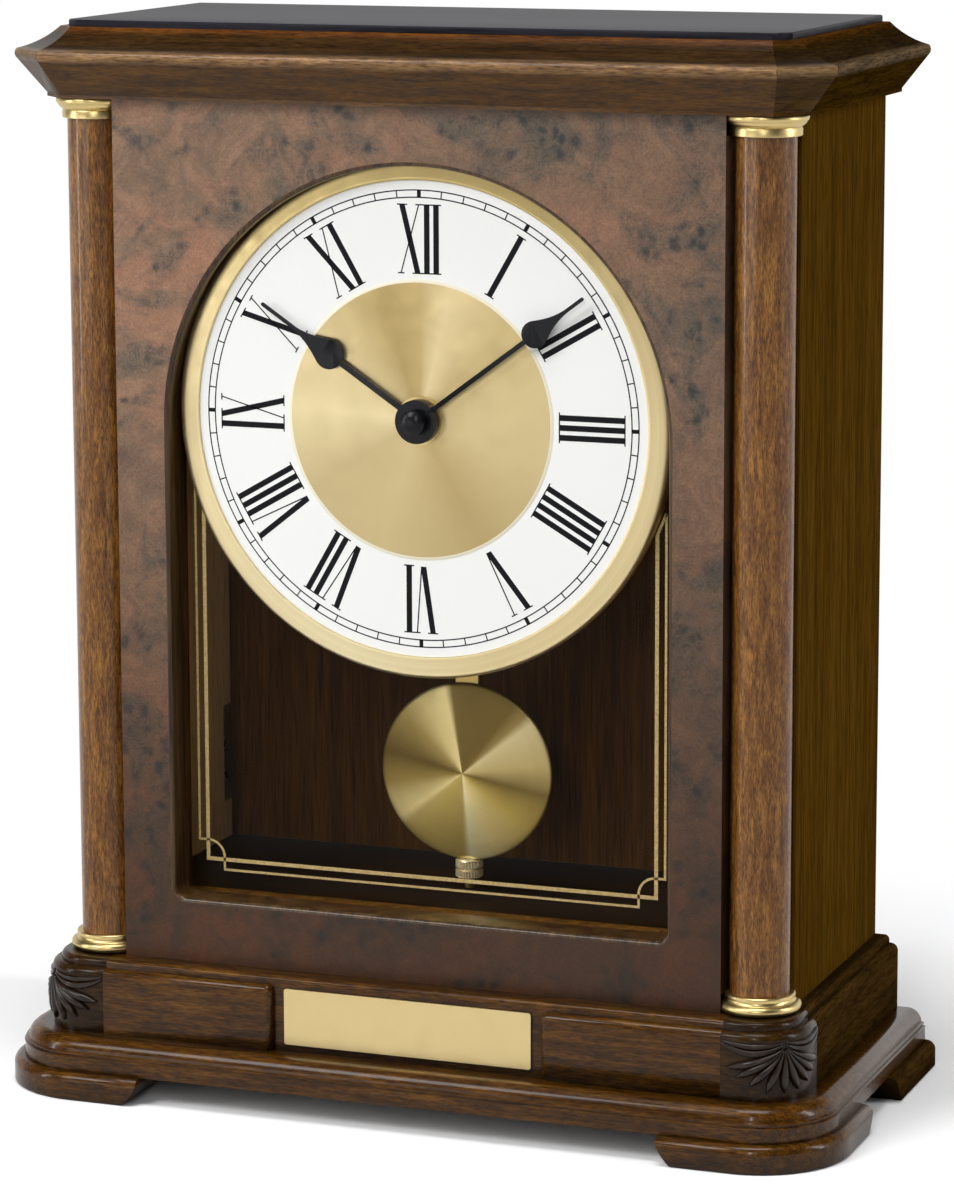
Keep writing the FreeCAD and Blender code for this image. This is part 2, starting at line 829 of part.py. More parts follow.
def dial_centre_disc():
    disc = rod_along_y(centre_disc_radius, centre_disc_front, dial_front)
    return disc.cut(rod_along_y(bush_radius, centre_disc_front - cut, dial_front + cut))


def bezel():
    """Spun brass rim: a wall down to the pane and a gently domed flange over the dial's edge."""
    r0, r1 = bezel_bore_radius, bezel_radius
    inner_y = dial_front - bezel_lip
    shoulder = V(r1, inner_y + bezel_shoulder + bezel_dome, 0)
    crest = V(r1 - bezel_shoulder, inner_y + bezel_dome * bezel_crest_share, 0)
    profile = face_of(V(r0, dial_front, 0), V(r0, inner_y, 0), crest,
                      quarter(crest, shoulder, V(r1, crest.y, 0)), shoulder, V(r1, glass_front, 0),
                      V(r1 - bezel_wall, glass_front, 0), V(r1 - bezel_wall, dial_front, 0))
    return spun(profile)


def fixing_nut():
    """Round brass nut that clamps dial and pane to the movement."""
    nut = rod_along_y(nut_radius, nut_front, centre_disc_front)
    return nut.cut(rod_along_y(bush_radius, nut_front - cut, centre_disc_front + cut))


def hand(length, bulb_at, bulb, stem, taper, y_front, y_back, bore):
    """A spade hand pointing at twelve: boss, stem, round bulb, hollow-sided taper, thin tip."""
    plate_front = y_back - hand_thickness
    lean = radians(hand_bulb_lean)
    tip = hand_tip_width / 2
    leave = V(bulb * sin(lean), 0, bulb_at + bulb * cos(lean))
    slide = (leave.x - tip) / cos(lean)
    knee = V(tip, 0, leave.z + slide * sin(lean))
    neck = V(tip, 0, max(bulb_at + taper, knee.z + tip))

    def flank(sign):
        curve = Part.BezierCurve()
        curve.setPoles([V(sign * leave.x, 0, leave.z), V(sign * knee.x, 0, knee.z), V(sign * neck.x, 0, neck.z)])
        return curve.toShape()

    right, left = flank(1), flank(-1)
    bulb_arc = Part.Arc(V(-leave.x, 0, leave.z), V(0, 0, bulb_at - bulb), V(leave.x, 0, leave.z)).toShape()
    shank = length - tip
    tip_right = Part.LineSegment(neck, V(tip, 0, shank)).toShape()
    tip_arc = Part.Arc(V(tip, 0, shank), V(0, 0, length), V(-tip, 0, shank)).toShape()
    tip_left = Part.LineSegment(V(-tip, 0, shank), V(-neck.x, 0, neck.z)).toShape()
    blade = Part.Face(Part.Wire([bulb_arc, right, tip_right, tip_arc, tip_left, left]))
    blade = blade.extrude(V(0, hand_thickness, 0))
    blade.translate(V(0, plate_front, 0))
    shaft = box(-stem / 2, stem / 2, plate_front, y_back, 0, bulb_at)
    boss = rod_along_y(hand_boss_radius, y_front, y_back, 0.0, 0.0)
    shape = joined(boss, shaft, blade)
    return shape.cut(rod_along_y(bore, y_front - cut, y_back + cut, 0.0, 0.0))


def set_on_centre(shape, clock_angle):
    """Turns a hand from twelve to its place and sets it on the dial's axis."""
    shape.rotate(V(0, 0, 0), V(0, 1, 0), clock_angle)
    shape.translate(V(0, 0, centre_z))
    return shape


def hour_hand():
    return set_on_centre(hand(hour_hand_length, hour_bulb_at, hour_bulb_radius, hour_stem_width, hour_taper,
                              hour_hand_front, hour_hand_back, tube_radius), hour_hand_angle)


def minute_hand():
    return set_on_centre(hand(minute_hand_length, minute_bulb_at, minute_bulb_radius, minute_stem_width,
                              minute_taper, minute_hand_front, minute_hand_back, arbor_radius),
                         minute_hand_angle)


def hand_cap():
    """Domed cap screwed on the end of the minute arbor."""
    y1 = minute_hand_front
    y0 = y1 - hand_cap_height
    edge = V(hand_cap_radius, y0 + hand_cap_dome, 0)
    out, down = hand_cap_crown_shares
    crown = V(hand_cap_radius * out, y0 + hand_cap_dome * down, 0)
    profile = face_of(V(0, y1, 0), V(0, y0, 0), (crown, edge), V(hand_cap_radius, y1, 0))
    return spun(profile)


# Movement
def gear(teeth, y0, y1, x, z, phase):
    """A spur gear along Y with one tooth centred on the phase angle, counted from +X towards +Z."""
    pitch = 2 * pi / teeth
    pitch_radius = gear_module * teeth / 2
    tip = pitch_radius + gear_module * addendum_share
    root = pitch_radius - gear_module * dedendum_share
    points = []
    for tooth in range(teeth):
        middle = phase + tooth * pitch
        for radius, share, side in ((root, tooth_root_share, -1), (tip, tooth_tip_share, -1),
                                    (tip, tooth_tip_share, 1), (root, tooth_root_share, 1)):
            angle = middle + side * pitch * share / 2
            points.append(V(x + radius * cos(angle), y0, z + radius * sin(angle)))
    return Part.Face(Part.makePolygon(points + points[:1])).extrude(V(0, y1 - y0, 0))


def movement_housing():
    """Moulded case of the movement, open at the back, with a bearing for the minute wheel."""
    half_width = housing_width / 2
    shell = box(-half_width, half_width, glass_back, cover_front, housing_bottom, housing_top)
    uprights = [edge for edge in shell.Edges if abs(edge.Length - (cover_front - glass_back)) < cut / 1000]
    shell = shell.makeFillet(housing_corner, uprights)
    inside = box(-half_width + housing_wall, half_width - housing_wall, housing_inside, cover_front + cut,
                 housing_floor, housing_top - housing_wall)
    bush_hole = rod_along_y(bush_radius, glass_back - cut, housing_inside + cut)
    pivot = rod_along_y(pivot_radius + running_clearance, housing_inside - pivot_length - running_clearance,
                        housing_inside + cut, gear_distance)
    return shell.cut([inside, bush_hole, pivot])


def movement_cover():
    """Back plate of the movement: battery window, holes for the setting stem and pendulum stud."""
    half_width = housing_width / 2
    plate = box(-half_width, half_width, cover_front, cover_back, housing_bottom, housing_top)
    uprights = [edge for edge in plate.Edges if abs(edge.Length - cover_thickness) < cut / 1000]
    plate = plate.makeFillet(housing_corner, uprights)
    reach = battery_length / 2 + battery_shift + contact_thickness
    window = box(-reach, reach, cover_front - cut, cover_back + cut,
                 battery_z - battery_radius * battery_window_share, battery_z + battery_radius * battery_window_share)
    stem = rod_along_y(minute_stem_radius + running_clearance, cover_front - cut, cover_back + cut, gear_distance)
    stud = rod_along_y(stud_radius, cover_front - cut, cover_back + cut, 0.0, pivot_z)
    rear_pivot = rod_along_y(pivot_radius + running_clearance, cover_front - cut,
                             cover_front + cover_thickness / 2)
    return plate.cut([window, stem, stud, rear_pivot])


def centre_bush():
    """Threaded brass bush from inside the housing through pane and dial, with a shoulder inside."""
    shoulder = rod_along_y(bush_radius + housing_wall / 2, housing_inside, housing_inside + gear_gap / 2)
    bush = joined(rod_along_y(bush_radius, nut_front, housing_inside), shoulder)
    return bush.cut(rod_along_y(tube_radius + running_clearance, nut_front - cut, housing_inside + cut))


def hour_wheel():
    """Hour wheel with its tube, which runs in the bush and carries the hour hand."""
    y0 = hour_wheel_front
    wheel = gear(hour_wheel_teeth, y0, y0 + gear_width, 0.0, centre_z, pi / hour_wheel_teeth)
    tube = rod_along_y(tube_radius, hour_hand_front, y0)
    bore = rod_along_y(arbor_radius + running_clearance, hour_hand_front - cut, y0 + gear_width + cut)
    return joined(wheel, tube).cut(bore)


def minute_arbor():
    """Arbor through the whole movement, with the cannon pinion near its back end."""
    y0 = minute_wheel_front
    pinion = gear(cannon_teeth, y0, y0 + gear_width, 0.0, centre_z, 0.0)
    arbor = rod_along_y(arbor_radius, minute_hand_front, cover_front - running_clearance)
    pivot = rod_along_y(pivot_radius, cover_front - running_clearance,
                        cover_front + cover_thickness / 2 - running_clearance)
    return joined(pinion, arbor, pivot)


def minute_wheel():
    """Minute wheel and its pinion on one stem that runs out through the cover."""
    wheel = gear(minute_wheel_teeth, minute_wheel_front, minute_wheel_front + gear_width,
                 gear_distance, centre_z, pi + pi / minute_wheel_teeth)
    pinion = gear(minute_pinion_teeth, hour_wheel_front, minute_wheel_front, gear_distance, centre_z, pi)
    stem = rod_along_y(minute_stem_radius, minute_wheel_front + gear_width,
                       cover_back + setting_knob_gap, gear_distance)
    collar = rod_along_y(minute_stem_radius, housing_inside + running_clearance, hour_wheel_front, gear_distance)
    pivot = rod_along_y(pivot_radius, housing_inside - pivot_length, housing_inside + running_clearance,
                        gear_distance)
    return joined(wheel, pinion, stem, collar, pivot)


def setting_knob():
    """Fluted knob on the stem behind the cover, for setting the hands."""
    y0 = cover_back + setting_knob_gap
    knob = rod_along_y(setting_knob_radius, y0, y0 + setting_knob_height, gear_distance)
    for number in range(setting_knob_flutes):
        angle = 2 * pi * number / setting_knob_flutes
        knob = knob.cut(rod_along_y(setting_knob_flute, y0 - cut, y0 + setting_knob_height + cut,
                                    gear_distance + setting_knob_radius * cos(angle),
                                    centre_z + setting_knob_radius * sin(angle)))
    return knob


def motor_unit():
    """Closed stepping motor with its reduction train; the minute arbor passes through it."""
    right = gear_distance - minute_stem_radius - motor_clearance
    block = box(right - motor_width, right, motor_front, cover_front, centre_z - motor_height / 2,
                centre_z + motor_height / 2)
    return block.cut(rod_along_y(arbor_radius + running_clearance, motor_front - cut, cover_front + cut))


def battery():
    """One AA cell lying across the top of the movement, held between its contacts."""
    x0, x1 = battery_shift - battery_length / 2, battery_shift + battery_length / 2
    cell = Part.makeCylinder(battery_radius, battery_length, V(x0, battery_y, battery_z), V(1, 0, 0))
    nub = Part.makeCylinder(battery_nub_radius, battery_nub_length, V(x1, battery_y, battery_z), V(1, 0, 0))
    return joined(cell, nub)


def battery_contacts():
    """Plate at the plus end, plate with a coiled pad at the minus end, both against the walls."""
    wall_x = housing_width / 2 - housing_wall
    y0, y1 = battery_y - contact_height / 2, battery_y + contact_height / 2
    z0, z1 = battery_z - contact_height / 2, battery_z + contact_height / 2
    plus_x = battery_shift + battery_length / 2 + battery_nub_length
    plus = joined(box(plus_x, plus_x + contact_thickness, y0, y1, z0, z1),
                  box(plus_x, wall_x, y0, y1, z0 - contact_thickness, z0))
    minus_x = battery_shift - battery_length / 2
    spring = Part.makeCylinder(contact_spring_radius, minus_x + wall_x - contact_thickness,
                               V(-wall_x + contact_thickness, battery_y, battery_z), V(1, 0, 0))
    minus = joined(box(-wall_x, -wall_x + contact_thickness, y0, y1, z0, z1), spring)
    return Part.makeCompound([plus, minus])


def circuit_board():
    """Small board near the front wall, standing on four short pillars."""
    z0, z1 = housing_floor + circuit_above_floor, centre_z - circuit_below_centre
    y0 = housing_inside + circuit_standoff
    board = box(-circuit_width / 2, circuit_width / 2, y0, y0 + circuit_thickness, z0, z1)
    pillar = circuit_pillar_radius
    inset = 2 * pillar
    for x in (-circuit_width / 2 + inset, circuit_width / 2 - inset):
        for z in (z0 + inset, z1 - inset):
            board = board.fuse(rod_along_y(pillar, housing_inside, y0, x, z))
    return board.removeSplitter()


def pendulum_coil():
    """Flat coil on the board, which pushes the magnet of the pendulum."""
    y0 = housing_inside + circuit_standoff + circuit_thickness
    winding = rod_along_y(coil_radius, y0, cover_front - coil_gap, 0.0, magnet_z)
    return winding.cut(rod_along_y(coil_core_radius, y0 - cut, cover_front, 0.0, magnet_z))


# Pendulum
def pendulum_stud():
    """Steel stud in the cover that the pendulum hangs on, with a collar and a head."""
    collar_end = hanger_front - stud_end_play
    head = rod_front + stud_end_play
    return joined(rod_along_y(stud_radius, cover_front, head, 0.0, pivot_z),
                  rod_along_y(stud_collar_radius, cover_back, collar_end, 0.0, pivot_z),
                  rod_along_y(stud_head_radius, head, head + stud_head_thickness, 0.0, pivot_z))


def pendulum_hanger():
    """Moulded arm with an eye for the stud."""
    z0 = pivot_z - hanger_length
    arm = box(-hanger_width / 2, hanger_width / 2, hanger_front, rod_front, z0, pivot_z)
    eye = rod_along_y(hanger_eye_radius, hanger_front, rod_front, 0.0, pivot_z)
    bore = rod_along_y(stud_radius + running_clearance, hanger_front - cut, rod_front + cut, 0.0, pivot_z)
    return joined(arm, eye).cut(bore)


def pendulum_magnet():
    """Disc magnet on the arm, facing the coil through the cover."""
    return rod_along_y(magnet_radius, hanger_front - magnet_length, hanger_front, 0.0, magnet_z)


def pendulum_rod():
    """Flat brass rod with two rivets that hold it on the arm, and a threaded end soldered to its back."""
    lap_bottom = pivot_z - hanger_length
    top = lap_bottom + rod_lap
    rivets = [rod_along_y(rivet_radius, rod_back, rod_back + rivet_head, 0.0, lap_bottom + rod_lap * share)
              for share in rivet_shares]
    strip = box(-rod_width / 2, rod_width / 2, rod_front, rod_back, thread_top, top)
    thread = post_along_z(thread_radius, thread_bottom, thread_top + thread_lap, 0.0, thread_y)
    return joined(strip, thread, *rivets)


def pendulum_bob():
    """Spun brass bob: a shallow cone with a bevelled rim, hollow behind."""
    rim = rod_front - rod_play - bob_sheet
    apex = rim - bob_dome
    inner = bob_radius - bob_rim_bevel
    profile = face_of(V(0, apex, 0), V(inner, rim, 0), V(bob_radius, rim + bob_rim_bevel, 0),
                      V(bob_radius, rim + bob_sheet, 0), V(inner, rim + bob_sheet, 0), V(0, apex + bob_sheet, 0))
    return spun(profile, 0.0, bob_z)


def before_bob_back():
    """All that lies in front of the bob's hollow back."""
    rim = rod_front - rod_play
    front = rim - bob_dome - bob_sheet - cut
    profile = face_of(V(0, front, 0), V(bob_radius, front, 0), V(bob_radius, rim, 0),
                      V(bob_radius - bob_rim_bevel, rim, 0), V(0, rim - bob_dome, 0))
    return spun(profile, 0.0, bob_z)


def bob_guide():
    """Block seated in the hollow of the bob; it slides on the rod and stands on the rating nut."""
    z0 = nut_top + nut_seat_gap
    z1 = z0 + guide_sleeve_height
    sleeve = post_along_z(guide_sleeve_radius, z0, z1, 0.0, thread_y)
    front = rod_front - rod_play - bob_dome
    block = box(-guide_width / 2, guide_width / 2, front, thread_y + thread_radius + rod_play + guide_back,
                z1, z1 + guide_height)
    slot = box(-rod_width / 2 - rod_play, rod_width / 2 + rod_play, rod_front - rod_play, rod_back + rod_play,
               z1 - cut, z1 + guide_height + cut)
    bore = post_along_z(thread_radius + rod_play, z0 - cut, z1 + guide_height + cut, 0.0, thread_y)
    return joined(block, sleeve).cut([slot, bore, before_bob_back()])


def rating_nut():
    """Knurled brass nut: two bands with a groove between, and a bevel at each end."""
    z0, z1 = nut_bottom, nut_top
    middle = (z0 + z1) / 2
    inner, outer = thread_radius + running_clearance, nut_knurl_radius
    profile = face_of(V(inner, 0, z0), V(outer - nut_bevel, 0, z0), V(outer, 0, z0 + nut_bevel),
                      V(outer, 0, middle - nut_groove_height / 2),
                      V(outer - nut_groove, 0, middle - nut_groove_height / 2),
                      V(outer - nut_groove, 0, middle + nut_groove_height / 2),
                      V(outer, 0, middle + nut_groove_height / 2), V(outer, 0, z1 - nut_bevel),
                      V(outer - nut_bevel, 0, z1), V(inner, 0, z1))
    return turned(profile, 0.0, thread_y)


# Back door with its hinges, catch and knob
def door_board():
    return box(-door_half, door_half, door_front, door_back, door_bottom, door_top)


def knuckle(z0, z1, radius):
    outer = post_along_z(hinge_knuckle_radius, z0, z1, hinge_x, hinge_y)
    return outer.cut(post_along_z(radius, z0 - cut, z1 + cut, hinge_x, hinge_y))


def hinge_case_leaf(middle):
    """Leaf let into the side panel, curled round to the two outer knuckles."""
    z0, z1 = middle - hinge_height / 2, middle + hinge_height / 2
    third = hinge_height / 3
    leaf = box(-inner_half - hinge_leaf, -inner_half, back - hinge_leaf_width, back, z0, z1)
    arms = [box(-inner_half, hinge_x, hinge_y, hinge_y + hinge_knuckle_radius, low, low + third - hinge_knuckle_gap)
            for low in (z0, z1 - third + hinge_knuckle_gap)]
    barrels = [post_along_z(hinge_knuckle_radius, low, low + third - hinge_knuckle_gap, hinge_x, hinge_y)
               for low in (z0, z1 - third + hinge_knuckle_gap)]
    bore = post_along_z(hinge_pin_radius, z0 - cut, z1 + cut, hinge_x, hinge_y)
    return joined(leaf, *(arms + barrels)).cut(bore)


def hinge_door_leaf(middle):
    """Leaf on the door's outer face with the middle knuckle."""
    third = hinge_height / 3
    low, high = middle - third / 2, middle + third / 2
    plate = box(hinge_x, hinge_x + hinge_leaf_width, door_back, door_back + hinge_leaf, low, high)
    barrel = post_along_z(hinge_knuckle_radius, low, high, hinge_x, hinge_y)
    bore = post_along_z(hinge_pin_radius + running_clearance, low - cut, high + cut, hinge_x, hinge_y)
    return joined(plate, barrel).cut(bore)


def hinge_pin(middle):
    return post_along_z(hinge_pin_radius, middle - hinge_height / 2, middle + hinge_height / 2, hinge_x, hinge_y)


def both_hinges(maker):
    return Part.makeCompound([maker(middle) for middle in hinge_middles])


def magnet_catch():
    """Magnet in a small holder on the right-hand side panel, halfway up."""
    y1 = door_front - strike_thickness - catch_gap
    middle = (door_bottom + door_top) / 2
    return box(inner_half - catch_width, inner_half, y1 - catch_depth, y1,
               middle - catch_height / 2, middle + catch_height / 2)


def strike_plate():
    middle = (door_bottom + door_top) / 2
    return box(inner_half - catch_width, door_half - door_gap, door_front - strike_thickness, door_front,
               middle - strike_height / 2, middle + strike_height / 2)


def door_knob():
    """Low turned knob that stays within the door's recess."""
    middle = (door_bottom + door_top) / 2
    x = door_half - knob_inset
    head = rod_along_y(knob_radius, door_back + knob_neck_height, door_back + knob_height, x, middle)
    neck = rod_along_y(knob_neck_radius, door_back, door_back + knob_neck_height, x, middle)
    return joined(neck, head)


os.makedirs("parts", exist_ok=True)

# Case and base
save_pair("foot_front", foot_front())
save_both("rear_feet", foot_rear())
save("base_slab", base_slab())
save("frieze_front", frieze_front_rail())
save_both("frieze_sides", frieze_side())
save("frieze_rear", frieze_rear())
save_both("corner_blocks", corner_block())
save("name_plate", name_plate())
save("case_floor", case_floor())
save("case_ceiling", case_ceiling())
save("front_panel", front_panel())
save("arch_lipping", arch_lipping())
save("window_glass", window_glass())
save("glazing_stops", glazing_stops())
save("side_panel_right", side_panel())
save("side_panel_left", side_panel_left())
save_both("corner_posts", corner_post())
save_pair("column", column())
save_both("column_base_rings", column_base_ring())
save_both("column_capitals", column_capital())
save("cornice_front", cornice_front())
save_both("cornice_corners", cornice_corner())
save_both("cornice_sides", cornice_side())
save("top_board", top_board())

# Dial and hands
save("dial_plate", dial_plate())
save("dial", dial())
save("dial_centre_disc", dial_centre_disc())
save("bezel", bezel())
save("fixing_nut", fixing_nut())
save("hour_hand", hour_hand())
save("minute_hand", minute_hand())
save("hand_cap", hand_cap())

# Movement
save("movement_housing", movement_housing())
save("movement_cover", movement_cover())
save("centre_bush", centre_bush())
save("hour_wheel", hour_wheel())
save("minute_arbor", minute_arbor())
save("minute_wheel", minute_wheel())
save("setting_knob", setting_knob())
save("motor_unit", motor_unit())
save("battery", battery())
save("battery_contacts", battery_contacts())
save("circuit_board", circuit_board())
save("pendulum_coil", pendulum_coil())

# Pendulum
save("pendulum_stud", pendulum_stud())
save("pendulum_hanger", pendulum_hanger())
save("pendulum_magnet", pendulum_magnet())
save("pendulum_rod", pendulum_rod())
save("pendulum_bob", pendulum_bob())
save("bob_guide", bob_guide())
save("rating_nut", rating_nut())

# Back door
save("door_board", door_board())
save("hinge_case_leaves", both_hinges(hinge_case_leaf))
save("hinge_door_leaves", both_hinges(hinge_door_leaf))
save("hinge_pins", both_hinges(hinge_pin))
save("magnet_catch", magnet_catch())
save("strike_plate", strike_plate())
save("door_knob", door_knob())
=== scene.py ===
"""Mantel clock with a pendulum, dressed for the photograph: veneered and moulded wood, spun brass,
a printed dial, pressed hands and a pane with gold lines, on a pale studio floor."""
import bmesh
import bpy
import numpy as np
from mathutils import Matrix, Vector


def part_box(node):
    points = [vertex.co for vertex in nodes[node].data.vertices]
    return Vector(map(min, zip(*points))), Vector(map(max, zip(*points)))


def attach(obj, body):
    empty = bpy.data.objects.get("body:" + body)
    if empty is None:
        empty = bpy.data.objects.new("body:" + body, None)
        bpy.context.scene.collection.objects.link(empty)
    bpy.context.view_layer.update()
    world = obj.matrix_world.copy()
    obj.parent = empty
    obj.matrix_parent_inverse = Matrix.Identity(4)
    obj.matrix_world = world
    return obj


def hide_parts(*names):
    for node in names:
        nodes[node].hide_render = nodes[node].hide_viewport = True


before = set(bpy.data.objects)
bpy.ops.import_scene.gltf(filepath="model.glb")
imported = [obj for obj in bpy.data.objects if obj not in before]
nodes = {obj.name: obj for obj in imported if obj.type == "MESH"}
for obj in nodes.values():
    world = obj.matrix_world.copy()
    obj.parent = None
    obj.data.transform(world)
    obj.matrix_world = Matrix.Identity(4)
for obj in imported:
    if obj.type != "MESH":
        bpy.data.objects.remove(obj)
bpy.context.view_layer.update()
scene = bpy.context.scene
MM = 0.001


# Studio. The clock stands on a wide sheet of white paper in a dark room, so its gloss mirrors the paper and
# the soft boxes: a key at the upper left, three strips, a low one in front and one overhead.
def linear(code):
    """sRGB hex to linear: each channel is c / 12.92 when small, else ((c + 0.055) / 1.055) ^ 2.4."""
    channels = np.array([int(code[i:i + 2], 16) for i in (1, 3, 5)]) / 255
    curved = ((channels + 0.055) / 1.055) ** 2.4
    return tuple(np.where(channels <= 0.04045, channels / 12.92, curved)) + (1.0,)


def add(tree, kind, settings=None, **inputs):
    """One shader node of a kind: settings are its properties, or the stops of a colour ramp. Inputs are
    values, sockets or nodes, of which the first output is taken, and each is named with _ for a space, or
    _ and its number."""
    node = tree.nodes.new("ShaderNode" + kind)
    for name, value in (settings or {}).items():
        if name == "stops":
            while len(node.color_ramp.elements) < len(value):
                node.color_ramp.elements.new(0.5)
            for element, (place, code) in zip(node.color_ramp.elements, value):
                element.position, element.color = place, linear(code)
        else:
            setattr(node, name, value)
    for name, value in inputs.items():
        socket = node.inputs[int(name[1:]) if name[0] == "_" else name.replace("_", " ")]
        if isinstance(value, bpy.types.Node):
            value = value.outputs[0]
        if isinstance(value, bpy.types.NodeSocket):
            tree.links.new(value, socket)
        else:
            socket.default_value = value
    return node


def material(name):
    """A new material and its node tree, which is empty."""
    made = bpy.data.materials.new(name)
    made.use_nodes = True
    made.node_tree.nodes.clear()
    return made, made.node_tree


def finish_on(made, *names):
    """Puts a material in the slots of CAD nodes or of pieces made here."""
    for name in names:
        thing = nodes[name] if isinstance(name, str) else name
        if not thing.data.materials:
            thing.data.materials.append(made)
        for slot in thing.material_slots:
            slot.material = made


def soft_box(name, bearing, rise, distance, width, height, radiance):
    """A white lamp facing the clock from a bearing (degrees from the front towards its right) and a rise.
    Its power is radiance x pi x area, so radiance 1 is the brightness of white paper."""
    turn, lift = np.radians((bearing, rise))
    target = Vector((0.0, 0.0, 0.16))
    away = Vector((np.sin(turn) * np.cos(lift), -np.cos(turn) * np.cos(lift), np.sin(lift)))
    place = target + distance * away
    data = bpy.data.lights.new(name, "AREA")
    data.shape, data.size, data.size_y = "RECTANGLE", width, height
    data.energy = radiance * np.pi * width * height
    lamp = bpy.data.objects.new(name, data)
    scene.collection.objects.link(lamp)
    lamp.location = place
    lamp.rotation_euler = (target - place).to_track_quat("-Z", "Y").to_euler()


soft_box("key", -33, 42, 1.6, 0.55, 0.55, 12.2)
soft_box("left_strip", -60, 8, 1.6, 0.15, 1.1, 15.0)
soft_box("camera_strip", 10, 24, 2.2, 0.12, 1.0, 24.0)
soft_box("right_strip", 97, 20, 1.4, 0.18, 0.9, 15.0)
soft_box("low_front", -27, 3, 1.6, 0.6, 0.35, 3.2)
soft_box("overhead", 10, 80, 1.5, 0.7, 0.5, 11.0)

# The dark room gives a weak fill. The camera sees it white, also through the pane, and gloss mirrors a
# white card behind the clock, which fades out between 20 and 37 degrees above the floor.
room_fill, mirrored_fill = 0.27, 0.04
times = {"operation": "MULTIPLY"}
larger = {"operation": "MAXIMUM"}
world = bpy.data.worlds.new("dark_studio")
scene.world = world
world.use_nodes = True
world.node_tree.nodes.clear()
sky = world.node_tree
path = add(sky, "LightPath")
toward = add(sky, "SeparateXYZ", Vector=add(sky, "TexCoord").outputs["Generated"])
behind = add(sky, "MapRange", Value=toward.outputs[1], _1=0.0, _2=0.3, _3=0.0, _4=1.0)
low_down = add(sky, "MapRange", Value=toward.outputs[2], _1=0.35, _2=0.6, _3=1.0, _4=0.0)
card = add(sky, "Math", times, _0=behind, _1=low_down)
mirrored = add(sky, "Math", times, _0=card, _1=path.outputs["Is Glossy Ray"])
straight = add(sky, "Math", larger, _0=path.outputs["Is Camera Ray"], _1=path.outputs["Is Transmission Ray"])
seen = add(sky, "Math", larger, _0=mirrored, _1=straight)
fill = add(sky, "MapRange", Value=path.outputs["Is Glossy Ray"], _1=0.0, _2=1.0, _3=room_fill,
           _4=mirrored_fill)
ambient = add(sky, "Background", Color=linear("#f6f7fa"), Strength=fill)
backdrop = add(sky, "Background", Color=(1, 1, 1, 1), Strength=1.0)
mixed = add(sky, "MixShader", _0=seen, _1=ambient, _2=backdrop)
add(sky, "OutputWorld", Surface=mixed)


def mesh_piece(name, points, faces):
    """A linked object whose mesh has the points, given in mm, and the faces."""
    mesh = bpy.data.meshes.new(name)
    mesh.from_pydata((points.reshape(-1, 3) * MM).tolist(), [], faces.tolist())
    piece = bpy.data.objects.new(name, mesh)
    scene.collection.objects.link(piece)
    return piece


floor_half = 6000.0
floor_corners = np.array([(-1, -1, 0), (1, -1, 0), (1, 1, 0), (-1, 1, 0)]) * floor_half
floor = mesh_piece("studio_floor", floor_corners, np.array([(0, 1, 2, 3)]))
# Matt white paper: near the clock it takes shadows, further off it is plain white. What it throws back on
# the clock comes from a greyer tone, so that the hollows of the mouldings stay dark.
smooth = {"interpolation_type": "SMOOTHSTEP"}
blended = {"data_type": "RGBA"}
shadow_oval, shadow_near, shadow_far = (2.6, 3.0, 1.0), 0.42, 0.95
paper, tree = material("white_paper_sweep")
here = add(tree, "TexCoord")
stretch = add(tree, "Mapping", Vector=here.outputs["Object"], Scale=shadow_oval)
away = add(tree, "VectorMath", {"operation": "LENGTH"}, _0=stretch)
fade = add(tree, "MapRange", smooth, Value=away.outputs["Value"], _1=shadow_near, _2=shadow_far,
           _3=0.0, _4=1.0)
path = add(tree, "LightPath")
looked_at = add(tree, "Math", larger, _0=path.outputs["Is Camera Ray"], _1=path.outputs["Is Glossy Ray"])
only_seen = add(tree, "Math", times, _0=fade, _1=looked_at)
held_back = add(tree, "Mix", blended, _0=path.outputs["Is Diffuse Ray"], _6=linear("#fdfdfd"),
                _7=linear("#9a9692"))
diffuse = add(tree, "BsdfDiffuse", Color=held_back.outputs[2])
white = add(tree, "Emission", Color=(1, 1, 1, 1), Strength=1.0)
mixed = add(tree, "MixShader", _0=only_seen, _1=diffuse, _2=white)
add(tree, "OutputMaterial", Surface=mixed)
finish_on(paper, floor)

# Camera: a long lens 1.4 m off, 20 degrees to the clock's right and 10 degrees above it. Its place and
# turn are fitted to the edges of the case in the photograph.
camera_place = Vector((475.9, -1248.8, 405.8)) * MM
turn, rise, roll = np.radians((20.385, 9.999, -0.144))
back = Vector((np.sin(turn) * np.cos(rise), -np.cos(turn) * np.cos(rise), np.sin(rise)))
right = Vector((np.cos(turn), np.sin(turn), 0.0))
camera_data = bpy.data.cameras.new("camera")
camera_data.sensor_fit, camera_data.sensor_height, camera_data.lens = "VERTICAL", 36.0, 132.8
camera_data.shift_x, camera_data.shift_y = -0.0171, -0.0472
camera = bpy.data.objects.new("camera", camera_data)
scene.collection.objects.link(camera)
axes = Matrix((right, back.cross(right), back)).transposed().to_4x4()
camera.matrix_world = Matrix.Translation(camera_place) @ axes @ Matrix.Rotation(roll, 4, "Z")
scene.camera = camera
scene.view_settings.view_transform = "Standard"


# Front panel. Chipboard faced with dark walnut burl, stained and lacquered to a satin gloss. The burl is
# mottled pinkish brown, with clusters of blue-green eyes 3 to 5 mm across and thin dark curls. It turns
# yellower towards its foot; painted shade darkens it there, and towards its right, where less light falls.
tinted = {"data_type": "RGBA", "blend_type": "MULTIPLY"}
